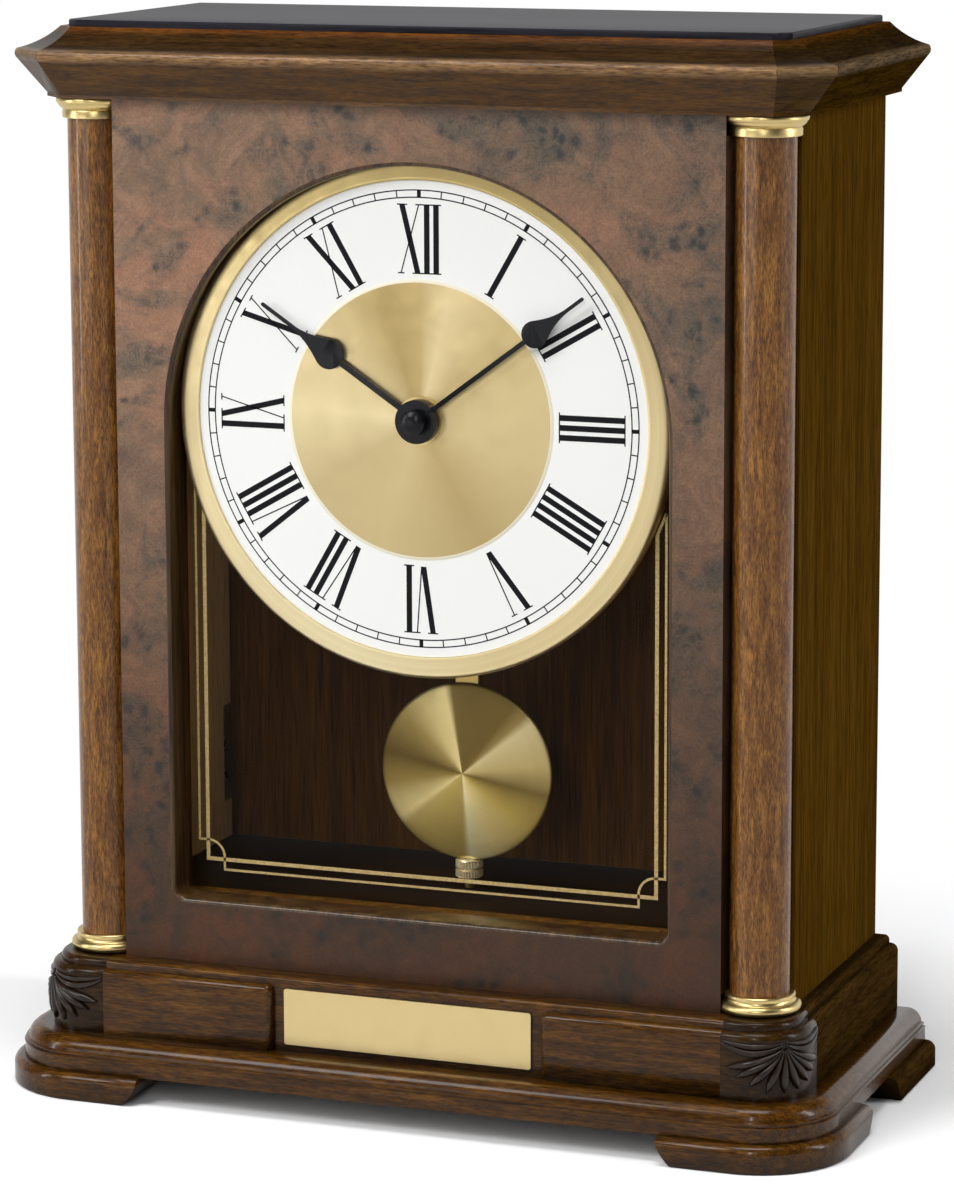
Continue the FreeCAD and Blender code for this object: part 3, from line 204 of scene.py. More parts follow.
# Scales are cells to the metre: the tone wanders over 45 mm, clouds are 13 mm, clusters 37 mm, eyes 5 mm,
# curls 10 mm and pores 0.8 mm.
burl, tree = material("walnut_burl_veneer")
here = add(tree, "TexCoord").outputs["Object"]
drift = add(tree, "TexNoise", Vector=here, Scale=55.0, Detail=4.0, Roughness=0.6)
push = add(tree, "VectorMath", {"operation": "SCALE"}, _0=drift.outputs["Color"], Scale=0.012)
warped = add(tree, "VectorMath", {"operation": "ADD"}, _0=here, _1=push).outputs[0]
wander = add(tree, "TexNoise", Vector=here, Scale=22.0, Detail=7.0, Roughness=0.66, Distortion=0.9)
cloud = add(tree, "TexNoise", Vector=warped, Scale=75.0, Detail=8.0, Roughness=0.72, Distortion=1.6)
pores = add(tree, "TexNoise", Vector=here, Scale=1300.0, Detail=3.0, Roughness=0.7)
cells = add(tree, "TexVoronoi", {"feature": "SMOOTH_F1"}, Vector=warped, Scale=190.0, Smoothness=0.35)
knots = add(tree, "TexNoise", Vector=here, Scale=27.0, Detail=6.0, Roughness=0.6, Distortion=1.8)
curl = add(tree, "TexNoise", Vector=here, Scale=95.0, Detail=3.0, Roughness=0.6, Distortion=3.2)
brown = add(tree, "ValToRGB", {"stops": ((0.30, "#594a43"), (0.48, "#816552"), (0.68, "#a9745a"))},
            Fac=wander)
fleck = add(tree, "ValToRGB", {"stops": ((0.34, "#5f4a38"), (0.62, "#9f7b5e"))}, Fac=cloud)
base = add(tree, "Mix", blended, _0=0.5, _6=brown, _7=fleck)
dot = add(tree, "MapRange", smooth, Value=cells.outputs["Distance"], _1=0.12, _2=0.5, _3=0.95, _4=0.0)
herd = add(tree, "MapRange", smooth, Value=knots, _1=0.46, _2=0.64, _3=0.0, _4=1.0)
haze = add(tree, "Math", times, _0=herd, _1=0.55)
clouded = add(tree, "Mix", blended, _0=haze, _6=base.outputs[2], _7=linear("#484e46"))
eye = add(tree, "Math", times, _0=dot, _1=herd)
eyed = add(tree, "Mix", blended, _0=eye, _6=clouded.outputs[2], _7=linear("#2c3231"))
line = add(tree, "Math", {"operation": "SUBTRACT"}, _0=curl, _1=0.5)
thread = add(tree, "Math", {"operation": "ABSOLUTE"}, _0=line)
drawn = add(tree, "MapRange", smooth, Value=thread, _1=0.0, _2=0.035, _3=0.55, _4=0.0)
only_there = add(tree, "Math", times, _0=drawn, _1=herd)
curled = add(tree, "Mix", blended, _0=only_there, _6=eyed.outputs[2], _7=linear("#28231f"))
speck = add(tree, "MapRange", Value=pores, _1=0.38, _2=0.60, _3=0.70, _4=1.0)
height = add(tree, "SeparateXYZ", Vector=here)
# Painted shade and tone: towards the foot the veneer is tinted yellower and darker; the darkening stands in
# for the sheen that fades there.
fade = add(tree, "MapRange", smooth, Value=height.outputs[2], _1=0.04, _2=0.25, _3=0.0, _4=1.0)
foot_tone_and_painted_shade = add(tree, "Mix", blended, _0=fade, _6=linear("#82612a"), _7=linear("#ffffff"))
toned = add(tree, "Mix", tinted, _0=1.0, _6=curled.outputs[2], _7=foot_tone_and_painted_shade.outputs[2])
# Painted shade: the veneer darkens from its left edge to its right, where less light falls.
sheet = add(tree, "MapRange", Value=height.outputs[0], _1=-0.09, _2=0.09, _3=1.08, _4=0.84)
joined = add(tree, "Math", times, _0=speck, _1=sheet)
inked = add(tree, "Mix", tinted, _0=1.0, _6=toned.outputs[2], _7=joined)
relief = add(tree, "Bump", Strength=0.10, Distance=0.0002, Height=pores)
skin = add(tree, "BsdfPrincipled", Base_Color=inked.outputs[2], Roughness=0.46,
           Specular_IOR_Level=0.35, Normal=relief)
add(tree, "OutputMaterial", Surface=skin)
finish_on(burl, "front_panel")


# Case woodwork: moulded lengths, side panels and boards. Each is cut along its grain, stained dark and
# lacquered; its edges are eased with fine paper, so they carry a thin light. Pores run with the length.
def wood(name, along, dark, mid, streak, fibre_mm, roughness, coat, coat_roughness=0.16, turn_z=0.0,
         bump=0.16, gloss=0.2, length=26, inside=None, painted_hollow_shade=0.0, bands=None):
    """Grain is the mean of two noises squeezed across the fibre: fibres fibre_mm wide and length times as
    long, and bands broad_ratio times as large. It picks the dark, the middle or the streak tone. Painted
    shade darkens hollows by up to the given share, as they see less of the sky within 10 mm. bands are
    tints at heights in mm: a nose kept pale as a painted sheen, painted shade in the hollow above it and
    amber between. A face towards the clock's middle, where x and its normal differ in sign, takes the
    lighter inside tone as painted light."""
    broad_ratio = 6
    made, tree = material(name)
    place = add(tree, "TexCoord").outputs["Object"]
    across = 1.0 / (fibre_mm * MM)
    squeeze = np.full(3, across)
    squeeze["XYZ".index(along)] = across / length
    lay = add(tree, "Mapping", {"vector_type": "TEXTURE"}, Vector=place, Rotation=(0, 0, turn_z))
    laid = add(tree, "Mapping", Vector=lay, Scale=squeeze)
    fibre = add(tree, "TexNoise", Vector=laid, Scale=1.0, Detail=4.0, Roughness=0.65)
    wide = add(tree, "Mapping", Vector=lay, Scale=squeeze / broad_ratio)
    broad = add(tree, "TexNoise", Vector=wide, Scale=1.0, Detail=4.0, Roughness=0.6, Distortion=0.5)
    fine = add(tree, "Math", times, _0=fibre, _1=0.5)
    blend = add(tree, "Math", {"operation": "MULTIPLY_ADD"}, _0=broad, _1=0.5, _2=fine)
    tone = add(tree, "ValToRGB", {"stops": ((0.38, dark), (0.50, mid), (0.62, streak))}, Fac=blend)
    pore = add(tree, "MapRange", Value=fibre, _1=0.32, _2=0.48, _3=0.55, _4=1.0)
    inked = add(tree, "Mix", tinted, _0=1.0, _6=tone, _7=pore)
    # Painted shade: hollows that see less of the sky within 10 mm are darkened.
    if painted_hollow_shade:
        hollow = add(tree, "AmbientOcclusion", {"samples": 8}, Distance=0.010)
        left = add(tree, "MapRange", Value=hollow.outputs["AO"], _1=0.40, _2=0.95, _3=1.0 - painted_hollow_shade, _4=1.0)
        inked = add(tree, "Mix", tinted, _0=1.0, _6=inked.outputs[2], _7=left)
    # Painted light by height: the bands can keep a nose pale as a painted sheen and darken a hollow as
    # painted shade.
    if bands:
        foot, head = bands[0][0], bands[-1][0]
        height = add(tree, "SeparateXYZ", Vector=place)
        level = add(tree, "MapRange", Value=height.outputs[2], _1=foot * MM, _2=head * MM)
        stops = [((z - foot) / (head - foot), code) for z, code in bands]
        tint = add(tree, "ValToRGB", {"stops": stops}, Fac=level)
        inked = add(tree, "Mix", tinted, _0=1.0, _6=inked.outputs[2], _7=tint)
    # Painted light: faces towards the clock's middle take the lighter inside tone.
    if inside:
        facing = add(tree, "NewGeometry").outputs["Normal"]
        where = add(tree, "VectorMath", times, _0=place, _1=facing)
        side = add(tree, "SeparateXYZ", Vector=where)
        within = add(tree, "Math", {"operation": "LESS_THAN"}, _0=side.outputs[0], _1=-0.01)
        inside_painted_light = add(tree, "Mix", tinted, _0=1.0, _6=linear(inside), _7=pore)
        inked = add(tree, "Mix", blended, _0=within, _6=inked.outputs[2], _7=inside_painted_light.outputs[2])
    relief = add(tree, "Bump", Strength=bump, Distance=0.0002, Height=fibre)
    skin = add(tree, "BsdfPrincipled", Base_Color=inked.outputs[2], Roughness=roughness,
               Specular_IOR_Level=gloss, Coat_Weight=coat, Coat_Roughness=coat_roughness,
               Normal=relief)
    add(tree, "OutputMaterial", Surface=skin)
    return made


def eased(node, body, width, segments=2, angle=28, merge=0.004):
    """A copy of a CAD node's mesh with the points within merge mm joined, and the edges that turn by more
    than angle degrees rounded by width in mm."""
    piece = bpy.data.objects.new(node + "_eased", nodes[node].data.copy())
    scene.collection.objects.link(piece)
    joined = bmesh.new()
    joined.from_mesh(piece.data)
    bmesh.ops.remove_doubles(joined, verts=joined.verts, dist=merge * MM)
    joined.to_mesh(piece.data)
    joined.free()
    piece.data.polygons.foreach_set("use_smooth", [True] * len(piece.data.polygons))
    piece.data.set_sharp_from_angle(angle=np.radians(angle))
    ease = piece.modifiers.new("eased_edges", "BEVEL")
    ease.width, ease.segments, ease.limit_method = width * MM, segments, "ANGLE"
    ease.angle_limit = np.radians(angle)
    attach(piece, body)
    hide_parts(node)
    return piece


front_grain = wood("moulding_front", "X", "#2c1704", "#452907", "#66410e", 0.35, 0.24, 0.14, 0.06,
                   gloss=0.14, length=10, painted_hollow_shade=0.75)
low, high = np.array(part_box("cornice_front")) / MM
# The cornice's tints by height, painted light as well as tone: the slope and the top edge are tinted amber
# and kept bright, the nose over the slope is kept pale as a painted sheen, and the cove above it is darkened
# as painted shade.
slope_top, nose_low, nose_high, cove_low = low[2] + np.array((10.8, 11.8, 14.2, 15.2))
cove_high = high[2] - 2.2
tint_and_painted_light = [(low[2], "#ab9440"), (slope_top, "#b09a46"), (nose_low, "#ffffff"), (nose_high, "#fffaf2"),
         (cove_low, "#6a6250"), (cove_high, "#72653f"), (high[2], "#b98e48")]
cornice_grain = wood("moulding_cornice", "X", "#523a24", "#7b5c3c", "#9c7a53", 0.4, 0.3, 0.1, 0.12,
                     gloss=0.14, length=9, painted_hollow_shade=0.45, bands=tint_and_painted_light)
corner_grain = wood("moulding_corner", "X", "#453321", "#665037", "#836a4a", 0.4, 0.3, 0.0, gloss=0.06,
                    turn_z=np.radians(45), length=9, painted_hollow_shade=0.45, bands=tint_and_painted_light)
cornice_side_grain = wood("moulding_cornice_side", "Y", "#44372a", "#5a4a38", "#735f48", 0.4, 0.36, 0.0,
                          gloss=0.0, length=14, painted_hollow_shade=0.45, bands=tint_and_painted_light)
side_grain = wood("moulding_side", "Y", "#2c1d0c", "#3b2910", "#4e3718", 0.4, 0.36, 0.0, gloss=0.0,
                  length=14, painted_hollow_shade=0.65)
block_grain = wood("dark_block", "X", "#1c1005", "#2b1a07", "#402a0a", 0.45, 0.25, 0.06, 0.08, gloss=0.12,
                   length=9, painted_hollow_shade=0.6)
for node, grain, ease in (("cornice_front", cornice_grain, 0.35),
                          ("cornice_sides", cornice_side_grain, 0.35),
                          ("cornice_corners", corner_grain, 0.25), ("base_slab", front_grain, 0.22),
                          ("frieze_front", front_grain, 0.25), ("frieze_sides", side_grain, 0.25),
                          ("corner_blocks", block_grain, 0.25), ("foot_front_left", front_grain, 0.5),
                          ("foot_front_right", front_grain, 0.5), ("rear_feet", side_grain, 0.5)):
    finish_on(grain, eased(node, "case", ease))
# Painted reflection: the top's faint blue-grey cast stands in for the studio's sheen on its dark lacquer.
finish_on(wood("dark_lacquered_top", "X", "#1b1a1e", "#26252b", "#2f2d2f", 1.4, 0.4, 0.0, 0.2, gloss=0.03),
          eased("top_board", "case", 0.2))
# The side panels' inner faces take a pale inside tone as painted light, where the lamps light them too
# little.
finish_on(wood("walnut_veneer_upright", "Z", "#432e0b", "#52380d", "#614515", 0.5, 0.55, 0.0, 0.3, gloss=0.0,
               inside="#fad08a"), "side_panel_left", "side_panel_right")
finish_on(wood("plain_board", "Z", "#4a2f0f", "#6b4718", "#855c26", 0.9, 0.6, 0.0, 0.3, gloss=0.1),
          "case_ceiling", "corner_posts", "glazing_stops", "frieze_rear", "dial_plate")
finish_on(wood("case_floor_board", "X", "#150b03", "#281806", "#3a250b", 1.6, 0.5, 0.0, 0.3), "case_floor")
finish_on(wood("door_board", "Z", "#4c2e0d", "#5b3811", "#6c4617", 0.7, 0.6, 0.0, 0.3, gloss=0.1),
          "door_board")


# Arch edge. The panel's veneer runs to the opening, whose edge is a hardwood lipping, rounded over and
# stained. Its head comes down in front of the bezel's upper rim.
def face_outwards(mesh):
    """Turns the faces of closed shells outwards and shades them smooth."""
    shell = bmesh.new()
    shell.from_mesh(mesh)
    bmesh.ops.recalc_face_normals(shell, faces=shell.faces)
    shell.to_mesh(mesh)
    shell.free()
    mesh.polygons.foreach_set("use_smooth", [True] * len(mesh.polygons))


def closed_grid(name, points, uv=None, sharp=32):
    """A closed ring of closed rings: points is rows x columns x 3 in mm, and both ways round it joins up.
    Edges that turn by more than sharp degrees stay crisp. uv is each row's place across its UV map."""
    rows, cols = points.shape[:2]
    i, j = np.meshgrid(np.arange(rows), np.arange(cols), indexing="ij")
    below, after = (i + 1) % rows, (j + 1) % cols
    corners = [i * cols + j, i * cols + after, below * cols + after, below * cols + j]
    faces = np.stack(corners, -1).reshape(-1, 4)
    piece = mesh_piece(name, points, faces)
    if uv is not None:
        u = np.stack([j, j + 1, j + 1, j], -1) / cols
        v = np.broadcast_to(uv[:, None, None], u.shape)
        piece.data.uv_layers.new(name="spin").data.foreach_set("uv", np.stack([u, v], -1).reshape(-1))
    face_outwards(piece.data)
    piece.data.set_sharp_from_angle(angle=np.radians(sharp))
    return piece


def opening(half, head_z, sill_z, corner):
    """The arched opening as (x, z) points and their inward normals: a semicircle of radius half about
    head_z, two upright sides, and a level sill between quarter circles of radius corner."""
    head = np.radians(np.linspace(0, 180, 121))
    turn_in = np.radians(np.linspace(180, 270, 13))
    turn_out = np.radians(np.linspace(270, 360, 13))
    side, low_z = half - corner, sill_z + corner
    places = [(half * np.cos(head), head_z + half * np.sin(head)),
              (corner * np.cos(turn_in) - side, low_z + corner * np.sin(turn_in)),
              (corner * np.cos(turn_out) + side, low_z + corner * np.sin(turn_out))]
    return (np.concatenate([np.stack(part, -1) for part in places]),
            -np.concatenate([np.stack([np.cos(t), np.sin(t)], -1) for t in (head, turn_in, turn_out)]))


panel_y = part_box("front_panel")[0][1] / MM
low, high = np.array(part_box("arch_lipping")) / MM
lipping_half, lipping_back = high[0], high[1]
dial_low, dial_high = np.array(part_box("dial")) / MM
# The edge stands inside the panel's hole at the sides and over the sill, and below it at the head.
hole_corner, edge_corner = 7.7, 5.0
side_lap, sill_lap, head_drop = 2.9, 2.7, 3.6
head_z = high[2] - lipping_half
hole, _ = opening(lipping_half, head_z, low[2], hole_corner)
edge, inward = opening(lipping_half - side_lap, head_z - head_drop, low[2] + sill_lap, edge_corner)
# Over the dial the wall stops in front of it. From 60 to 76 degrees off the top it runs out to its depth.
before_dial = 2.4
from_top = np.degrees(np.arctan2(np.abs(edge[:, 0]), edge[:, 1] - (dial_low[2] + dial_high[2]) / 2))
wall_back = np.interp(from_top, (60, 76), (dial_low[1] - before_dial, lipping_back))


def along_opening(name, section, made):
    """A closed section of (share, inward, depth) run round the opening: share 1 starts from the panel's
    hole and 0 from the edge, inward is in mm along its normal, and depth None is the wall's back."""
    rows = [(1 - share) * edge + share * hole + step * inward for share, step, depth in section]
    depths = [wall_back if depth is None else np.full(len(edge), depth) for share, step, depth in section]
    points = np.stack([np.stack([row[:, 0], depth, row[:, 1]], -1) for row, depth in zip(rows, depths)])
    piece = closed_grid(name, points)
    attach(piece, "case")
    finish_on(made, piece)
    return piece


margin_back, nose_r = panel_y + 1.2, 1.3
nose_back = panel_y + nose_r
sheet = [(1, 0, panel_y), (0, 0, panel_y), (0, 0, margin_back), (1, 0, margin_back)]
margin = along_opening("panel_margin", sheet, burl)
nose = [(0, nose_r * np.sin(a), panel_y + nose_r * (1 - np.cos(a)))
        for a in np.radians(np.linspace(0, 90, 7))]
wall = [(0, nose_r, None), (0.5, 0, None), (0.5, 0, nose_back), (0, 0, nose_back)]
lipping_wood = wood("lipping_hardwood", "Z", "#25150a", "#453019", "#5c4226", 0.9, 0.3, 0.3, 0.16)
lipping = along_opening("rounded_lipping", nose + wall, lipping_wood)
for piece in (margin, lipping):
    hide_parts("arch_lipping")


# Columns and their brass rings. The columns are turned beech stained brown, the rings spun from brass
# sheet and lacquered; all are flattened behind, where they stand against the case.
def turned_piece(name, profile, x, y, flat_y, steps=128):
    """A closed profile of (radius, height) in mm turned about the upright axis at x, y: the point at angle t
    is (x + r cos t, y + r sin t, z), and what would lie behind the plane flat_y is pressed onto it."""
    ring = np.asarray(profile, float)
    t = np.linspace(0, 2 * np.pi, steps, endpoint=False)
    r, z = ring[:, :1], ring[:, 1:]
    points = np.stack([x + r * np.cos(t), np.minimum(y + r * np.sin(t), flat_y), z + 0 * t], -1)
    return closed_grid(name, points)


def swell(start, end, out, count=9):
    """Points along a half-round swelling between two (radius, height) points, out by its full height."""
    a, b = np.array(start, float), np.array(end, float)
    s = np.linspace(0, np.pi, count)
    bulge = np.stack([np.sin(s) * out, 0 * s], -1)
    return [tuple(p) for p in a + (b - a) * ((1 - np.cos(s)) / 2)[:, None] + bulge]


def brass(name, tint, roughness, spread=0.0, painted_wedges=None, brushing=0.0, along="X", metal=1.0):
    """One metal. wedges is a ramp of tones round the piece, read from its UV map: painted highlights and
    painted shade in the fan of light that circular brushing gathers. brushing is how strongly its fine lines
    stand out, and spread stretches highlights across them."""
    made, tree = material(name)
    place = add(tree, "TexCoord")
    mottle = add(tree, "TexNoise", Vector=place.outputs["Object"], Scale=160.0, Detail=3.0, Roughness=0.6)
    rough = add(tree, "MapRange", Value=mottle, _1=0.3, _2=0.7, _3=roughness * 0.85, _4=roughness * 1.2)
    inputs = dict(Base_Color=linear(tint), Metallic=metal, Roughness=rough)
    if painted_wedges:
        ring = add(tree, "UVMap", {"uv_map": "spin"})
        split = add(tree, "SeparateXYZ", Vector=ring)
        # Painted light: the ramp of tones round the piece paints its highlights and dark wedges into the
        # colour.
        fan = add(tree, "ValToRGB", {"stops": painted_wedges}, Fac=split.outputs[0])
        lines = add(tree, "CombineXYZ", Y=split.outputs[1])
        fine = add(tree, "TexNoise", Vector=lines, Scale=160.0, Detail=3.0, Roughness=0.8)
        veil = add(tree, "MapRange", Value=fine, _1=0.3, _2=0.7, _3=0.88, _4=1.0)
        inputs["Base_Color"] = add(tree, "Mix", tinted, _0=1.0, _6=fan, _7=veil).outputs[2]
    elif brushing:
        line_width, line_length = 1 / 2600, 1 / 60
        stretch = np.full(3, 1 / line_width)
        stretch["XYZ".index(along)] = 1 / line_length
        scale = add(tree, "Mapping", Vector=place.outputs["Object"], Scale=stretch)
        fine = add(tree, "TexNoise", Vector=scale, Scale=1.0, Detail=2.0)
    if brushing:
        inputs["Normal"] = add(tree, "Bump", Strength=brushing, Distance=0.00005, Height=fine)
    skin = add(tree, "BsdfPrincipled", **inputs)
    if spread:
        skin.inputs["Anisotropic"].default_value = spread
        way = add(tree, "Tangent", {"direction_type": "UV_MAP", "uv_map": "spin"})
        tree.links.new(way.outputs[0], skin.inputs["Tangent"])
    add(tree, "OutputMaterial", Surface=skin)
    return made


low, high = np.array(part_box("column_right")) / MM
column_r = (high[0] - low[0]) / 2
column_x, column_y, flat_y = (low[0] + high[0]) / 2, low[1] + column_r, high[1]
column_grain = wood("turned_column", "Z", "#4d2d10", "#6f471d", "#9a6a30", 0.3, 0.26, 0.25, 0.12, bump=0.35,
                    gloss=0.18, length=7)
spun_brass = brass("spun_brass", "#cbb47c", 0.33)
ring_low, ring_high = np.array(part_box("column_base_rings")) / MM
capital_low, capital_high = np.array(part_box("column_capitals")) / MM
ring_r, capital_r = ring_high[0] - column_x, capital_high[0] - column_x
foot_z, foot_top = ring_low[2], ring_high[2]
cap_z, cap_top = capital_low[2], capital_high[2]
bore, core = column_r - 0.05, 0.5
# Base ring: a broad swelling, a step and a fine swelling.
ring_profile = [(bore, foot_z + 0.02), (ring_r - 1.7, foot_z + 0.02)]
ring_profile += swell((ring_r - 1.6, foot_z + 0.05), (ring_r - 1.6, foot_z + 3.15), 1.55)
ring_profile += [(ring_r - 1.75, foot_z + 3.3), (ring_r - 2.05, foot_z + 3.7)]
ring_profile += swell((ring_r - 2.15, foot_z + 4.0), (ring_r - 2.2, foot_top - 0.1), 0.35, 5)
ring_profile += [(bore, foot_top - 0.05)]
# Capital: a plain neck, a groove, a hollow that flares out and a rounded rim.
capital_profile = [(bore, cap_z), (capital_r - 2.15, cap_z), (capital_r - 1.95, cap_z + 0.2),
                   (capital_r - 1.95, cap_z + 2.1), (capital_r - 2.15, cap_z + 2.5),
                   (capital_r - 1.7, cap_z + 2.9), (capital_r - 1.1, cap_z + 3.4),
                   (capital_r - 0.75, cap_z + 3.9), (capital_r - 0.6, cap_z + 4.3)]
capital_profile += swell((capital_r - 0.55, cap_z + 4.35), (capital_r - 0.6, cap_top - 0.05), 0.5, 7)
capital_profile += [(bore, cap_top - 0.02)]
column_profile = [(core, low[2]), (column_r, low[2]), (column_r, high[2]), (core, high[2])]
rings, capitals = [], []
for side, sign in (("left", -1), ("right", 1)):
    column = turned_piece("column_turned_" + side, column_profile, sign * column_x, column_y, flat_y)
    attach(column, "case")
    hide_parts("column_" + side)
    finish_on(column_grain, column)
    rings.append(turned_piece("base_ring_" + side, ring_profile, sign * column_x, column_y, flat_y))
    capitals.append(turned_piece("capital_" + side, capital_profile, sign * column_x, column_y, flat_y))
for pair, node in ((rings, "column_base_rings"), (capitals, "column_capitals")):
    for piece in pair:
        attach(piece, "case")
        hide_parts(node)
        finish_on(spun_brass, piece)
finish_on(spun_brass, "fixing_nut")
finish_on(brass("rolled_brass", "#cab583", 0.36, brushing=0.4),
          eased("name_plate", "case", 0.15))
finish_on(brass("rod_brass", "#b79d5e", 0.34, brushing=0.3, along="Z"), "pendulum_rod")
finish_on(brass("machined_brass", "#b79a55", 0.3), "centre_bush", "hour_wheel", "minute_arbor",
          "minute_wheel", "hinge_pins", "hinge_case_leaves", "hinge_door_leaves", "door_knob")


# Bezel, centre disc and bob. All are spun from brass sheet over a former, brushed while they turn and
# lacquered; the disc has a cream painted bevel, and the bob is a shallow cone with a rolled rim. The tones
# round each are painted highlights and painted shade.
def spun_piece(name, profile, x, z, steps=240):
    """A closed profile of (radius, depth) in mm turned about an axis along Y: the point at angle t is
    (x + r sin t, depth, z + r cos t). Its UV map runs round with t and across with the radius."""
    ring = np.asarray(profile, float)
    t = np.linspace(0, 2 * np.pi, steps, endpoint=False)
    r, d = ring[:, :1], ring[:, 1:]
    return closed_grid(name, np.stack([x + r * np.sin(t), d + 0 * t, z + r * np.cos(t)], -1),
                       uv=ring[:, 0] / ring[:, 0].max())


def paint(name, code, roughness, gloss=0.5, peel=0.0, depth_mm=0.05, grain=0.0):
    """One flat colour of paint, enamel or ink. With a peel, its face is dimpled by noise of that strength,
    depth_mm deep, with grain dimples to the metre."""
    made, tree = material(name)
    inputs = dict(Base_Color=linear(code), Roughness=roughness, Specular_IOR_Level=gloss)
    if peel:
        place = add(tree, "TexCoord").outputs["Object"]
        dimples = add(tree, "TexNoise", Vector=place, Scale=grain, Detail=2.0)
        inputs["Normal"] = add(tree, "Bump", Strength=peel, Distance=depth_mm * MM, Height=dimples)
    skin = add(tree, "BsdfPrincipled", **inputs)
    add(tree, "OutputMaterial", Surface=skin)
    return made


low, high = np.array(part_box("bezel")) / MM
bezel_front, bezel_back = low[1], high[1]
dial_x, dial_z, bezel_r = 0.0, (low[2] + high[2]) / 2, (high[0] - low[0]) / 2
dial_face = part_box("dial")[0][1] / MM
# From the bore outwards: a rolled lip, a face that falls back by its slope, a rounded shoulder, the wall.
face_width, lip_width, lip_drop, slope = 6.9, 0.9, 0.05, 0.10
shoulder_width, shoulder_drop, wall_width = 2.4, 2.2, 1.2
bore_r, shoulder, wall_r = bezel_r - face_width, bezel_r - shoulder_width, bezel_r - wall_width
rim = [(bore_r, dial_face), (bore_r, bezel_front + 0.3), (bore_r + 0.12, bezel_front + 0.08),
       (bore_r + 0.35, bezel_front), (bore_r + lip_width, bezel_front + lip_drop)]
rim += [(r, bezel_front + lip_drop + slope * (r - bore_r - lip_width))
        for r in np.linspace(bore_r + 1.6, shoulder, 4)]
edge_y = rim[-1][1]
rim += [(shoulder + shoulder_width * np.sin(a), edge_y + shoulder_drop * (1 - np.cos(a)))
        for a in np.radians((15, 30, 45, 60, 75, 88))]
rim += [(bezel_r, bezel_back), (wall_r, bezel_back), (wall_r, dial_face)]
bezel = spun_piece("bezel_rim", rim, dial_x, dial_z)
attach(bezel, "case")
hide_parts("bezel")
# Painted light round the bezel: darker at the top, where it mirrors the dark wood, and brighter at its sides
# and foot.
bezel_painted_light = ((0.0, "#b09b69"), (0.08, "#b39e69"), (0.25, "#dfcb9b"), (0.45, "#d8c596"), (0.55, "#e6d7ac"),
               (0.65, "#e3d2a5"), (0.78, "#e0cc9b"), (0.9, "#c6b17a"), (1.0, "#b09b69"))
finish_on(brass("bezel_brass", "#d0b983", 0.36, 0.35, bezel_painted_light, 0.15), bezel)

low, high = np.array(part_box("dial_centre_disc")) / MM
disc_r, disc_front, disc_back = (high[0] - low[0]) / 2, low[1], high[1]
disc_hole, bevel_width = 4.2, 1.0
flat_r = disc_r - bevel_width
flat = [(disc_hole, disc_back), (disc_hole, disc_front), (flat_r, disc_front), (flat_r, disc_back)]
disc = spun_piece("centre_disc_brushed", flat, dial_x, dial_z)
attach(disc, "case")
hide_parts("dial_centre_disc")
# Painted light round the disc: bright and dark wedges for the reflections on its brushed brass.
disc_painted_light = ((0.0, "#b49e6d"), (0.04, "#d6c394"), (0.12, "#bda877"), (0.20, "#cbb888"), (0.30, "#ccb889"),
              (0.42, "#b7a170"), (0.55, "#cab687"), (0.66, "#c4b083"), (0.76, "#decd9f"), (0.84, "#d0bd8f"),
              (0.95, "#aa9462"), (1.0, "#b49e6d"))
finish_on(brass("disc_brass", "#c6ae74", 0.38, 0.6, disc_painted_light, 0.2), disc)
slant = [(flat_r, disc_back), (flat_r, disc_front + 0.02), (flat_r + 0.25, disc_front), (disc_r, disc_back)]
bevel = spun_piece("centre_disc_bevel", slant, dial_x, dial_z)
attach(bevel, "case")
finish_on(paint("cream_dial_paint", "#ece6cf", 0.5), bevel)

low, high = np.array(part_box("pendulum_bob")) / MM
bob_x, bob_z, bob_r = 0.0, (low[2] + high[2]) / 2, (high[2] - low[2]) / 2
apex, bob_back, rim_depth = low[1], high[1], 0.9
rim_y = bob_back - rim_depth
inner_y, tip_r = apex + 0.5 * rim_depth, 0.01
dome = [(tip_r, apex + 0.01)]
dome += [(bob_r * s, apex + (rim_y - apex) * s) for s in np.linspace(0.03, 0.965, 14)]
dome += [(bob_r - 0.5, rim_y + 0.02), (bob_r - 0.15, rim_y + 0.2), (bob_r, rim_y + 0.45), (bob_r, bob_back),
         (bob_r - 0.7, bob_back)]
dome += [(bob_r * s, inner_y + (rim_y - apex) * s) for s in (0.9, 0.5, 0.05)] + [(tip_r, inner_y)]
bob = spun_piece("bob_disc", dome, bob_x, bob_z)
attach(bob, "bob")
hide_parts("pendulum_bob")
# Painted light round the bob: sharp bright and dark wedges for the reflections on its spun cone.
bob_painted_light = ((0.0, "#715d29"), (0.10, "#7a632a"), (0.128, "#a38c50"), (0.145, "#e9d59c"), (0.225, "#cfb877"),
             (0.285, "#7a642c"), (0.36, "#c9ad58"), (0.44, "#f3db92"), (0.49, "#fff2b8"), (0.505, "#c7ad5e"),
             (0.60, "#d2b865"), (0.632, "#d4ba70"), (0.65, "#fae39c"), (0.72, "#a58c48"), (0.78, "#6b5521"),
             (0.86, "#a78f50"), (0.91, "#dcc684"), (0.958, "#ecd796"), (0.972, "#7a6430"), (1.0, "#715d29"))
finish_on(brass("bob_brass", "#c9b27a", 0.42, 0.6, bob_painted_light, 0.3, metal=0.72), bob)


# Dial print. Black screen print on white enamel: a minute track of two hairlines with ticks, and
# Roman numerals that stand with their feet to the centre, thick and thin strokes with hairline serifs.
finish_on(paint("white_dial_enamel", "#f2f3f1", 0.6, 0.1, 0.03, 0.05, 2200.0), "dial")
print_lift = 0.04
numeral_foot, numeral_head = 44.2, 64.2
v_width, x_width, letter_gap = 6.4, 6.6, 1.2
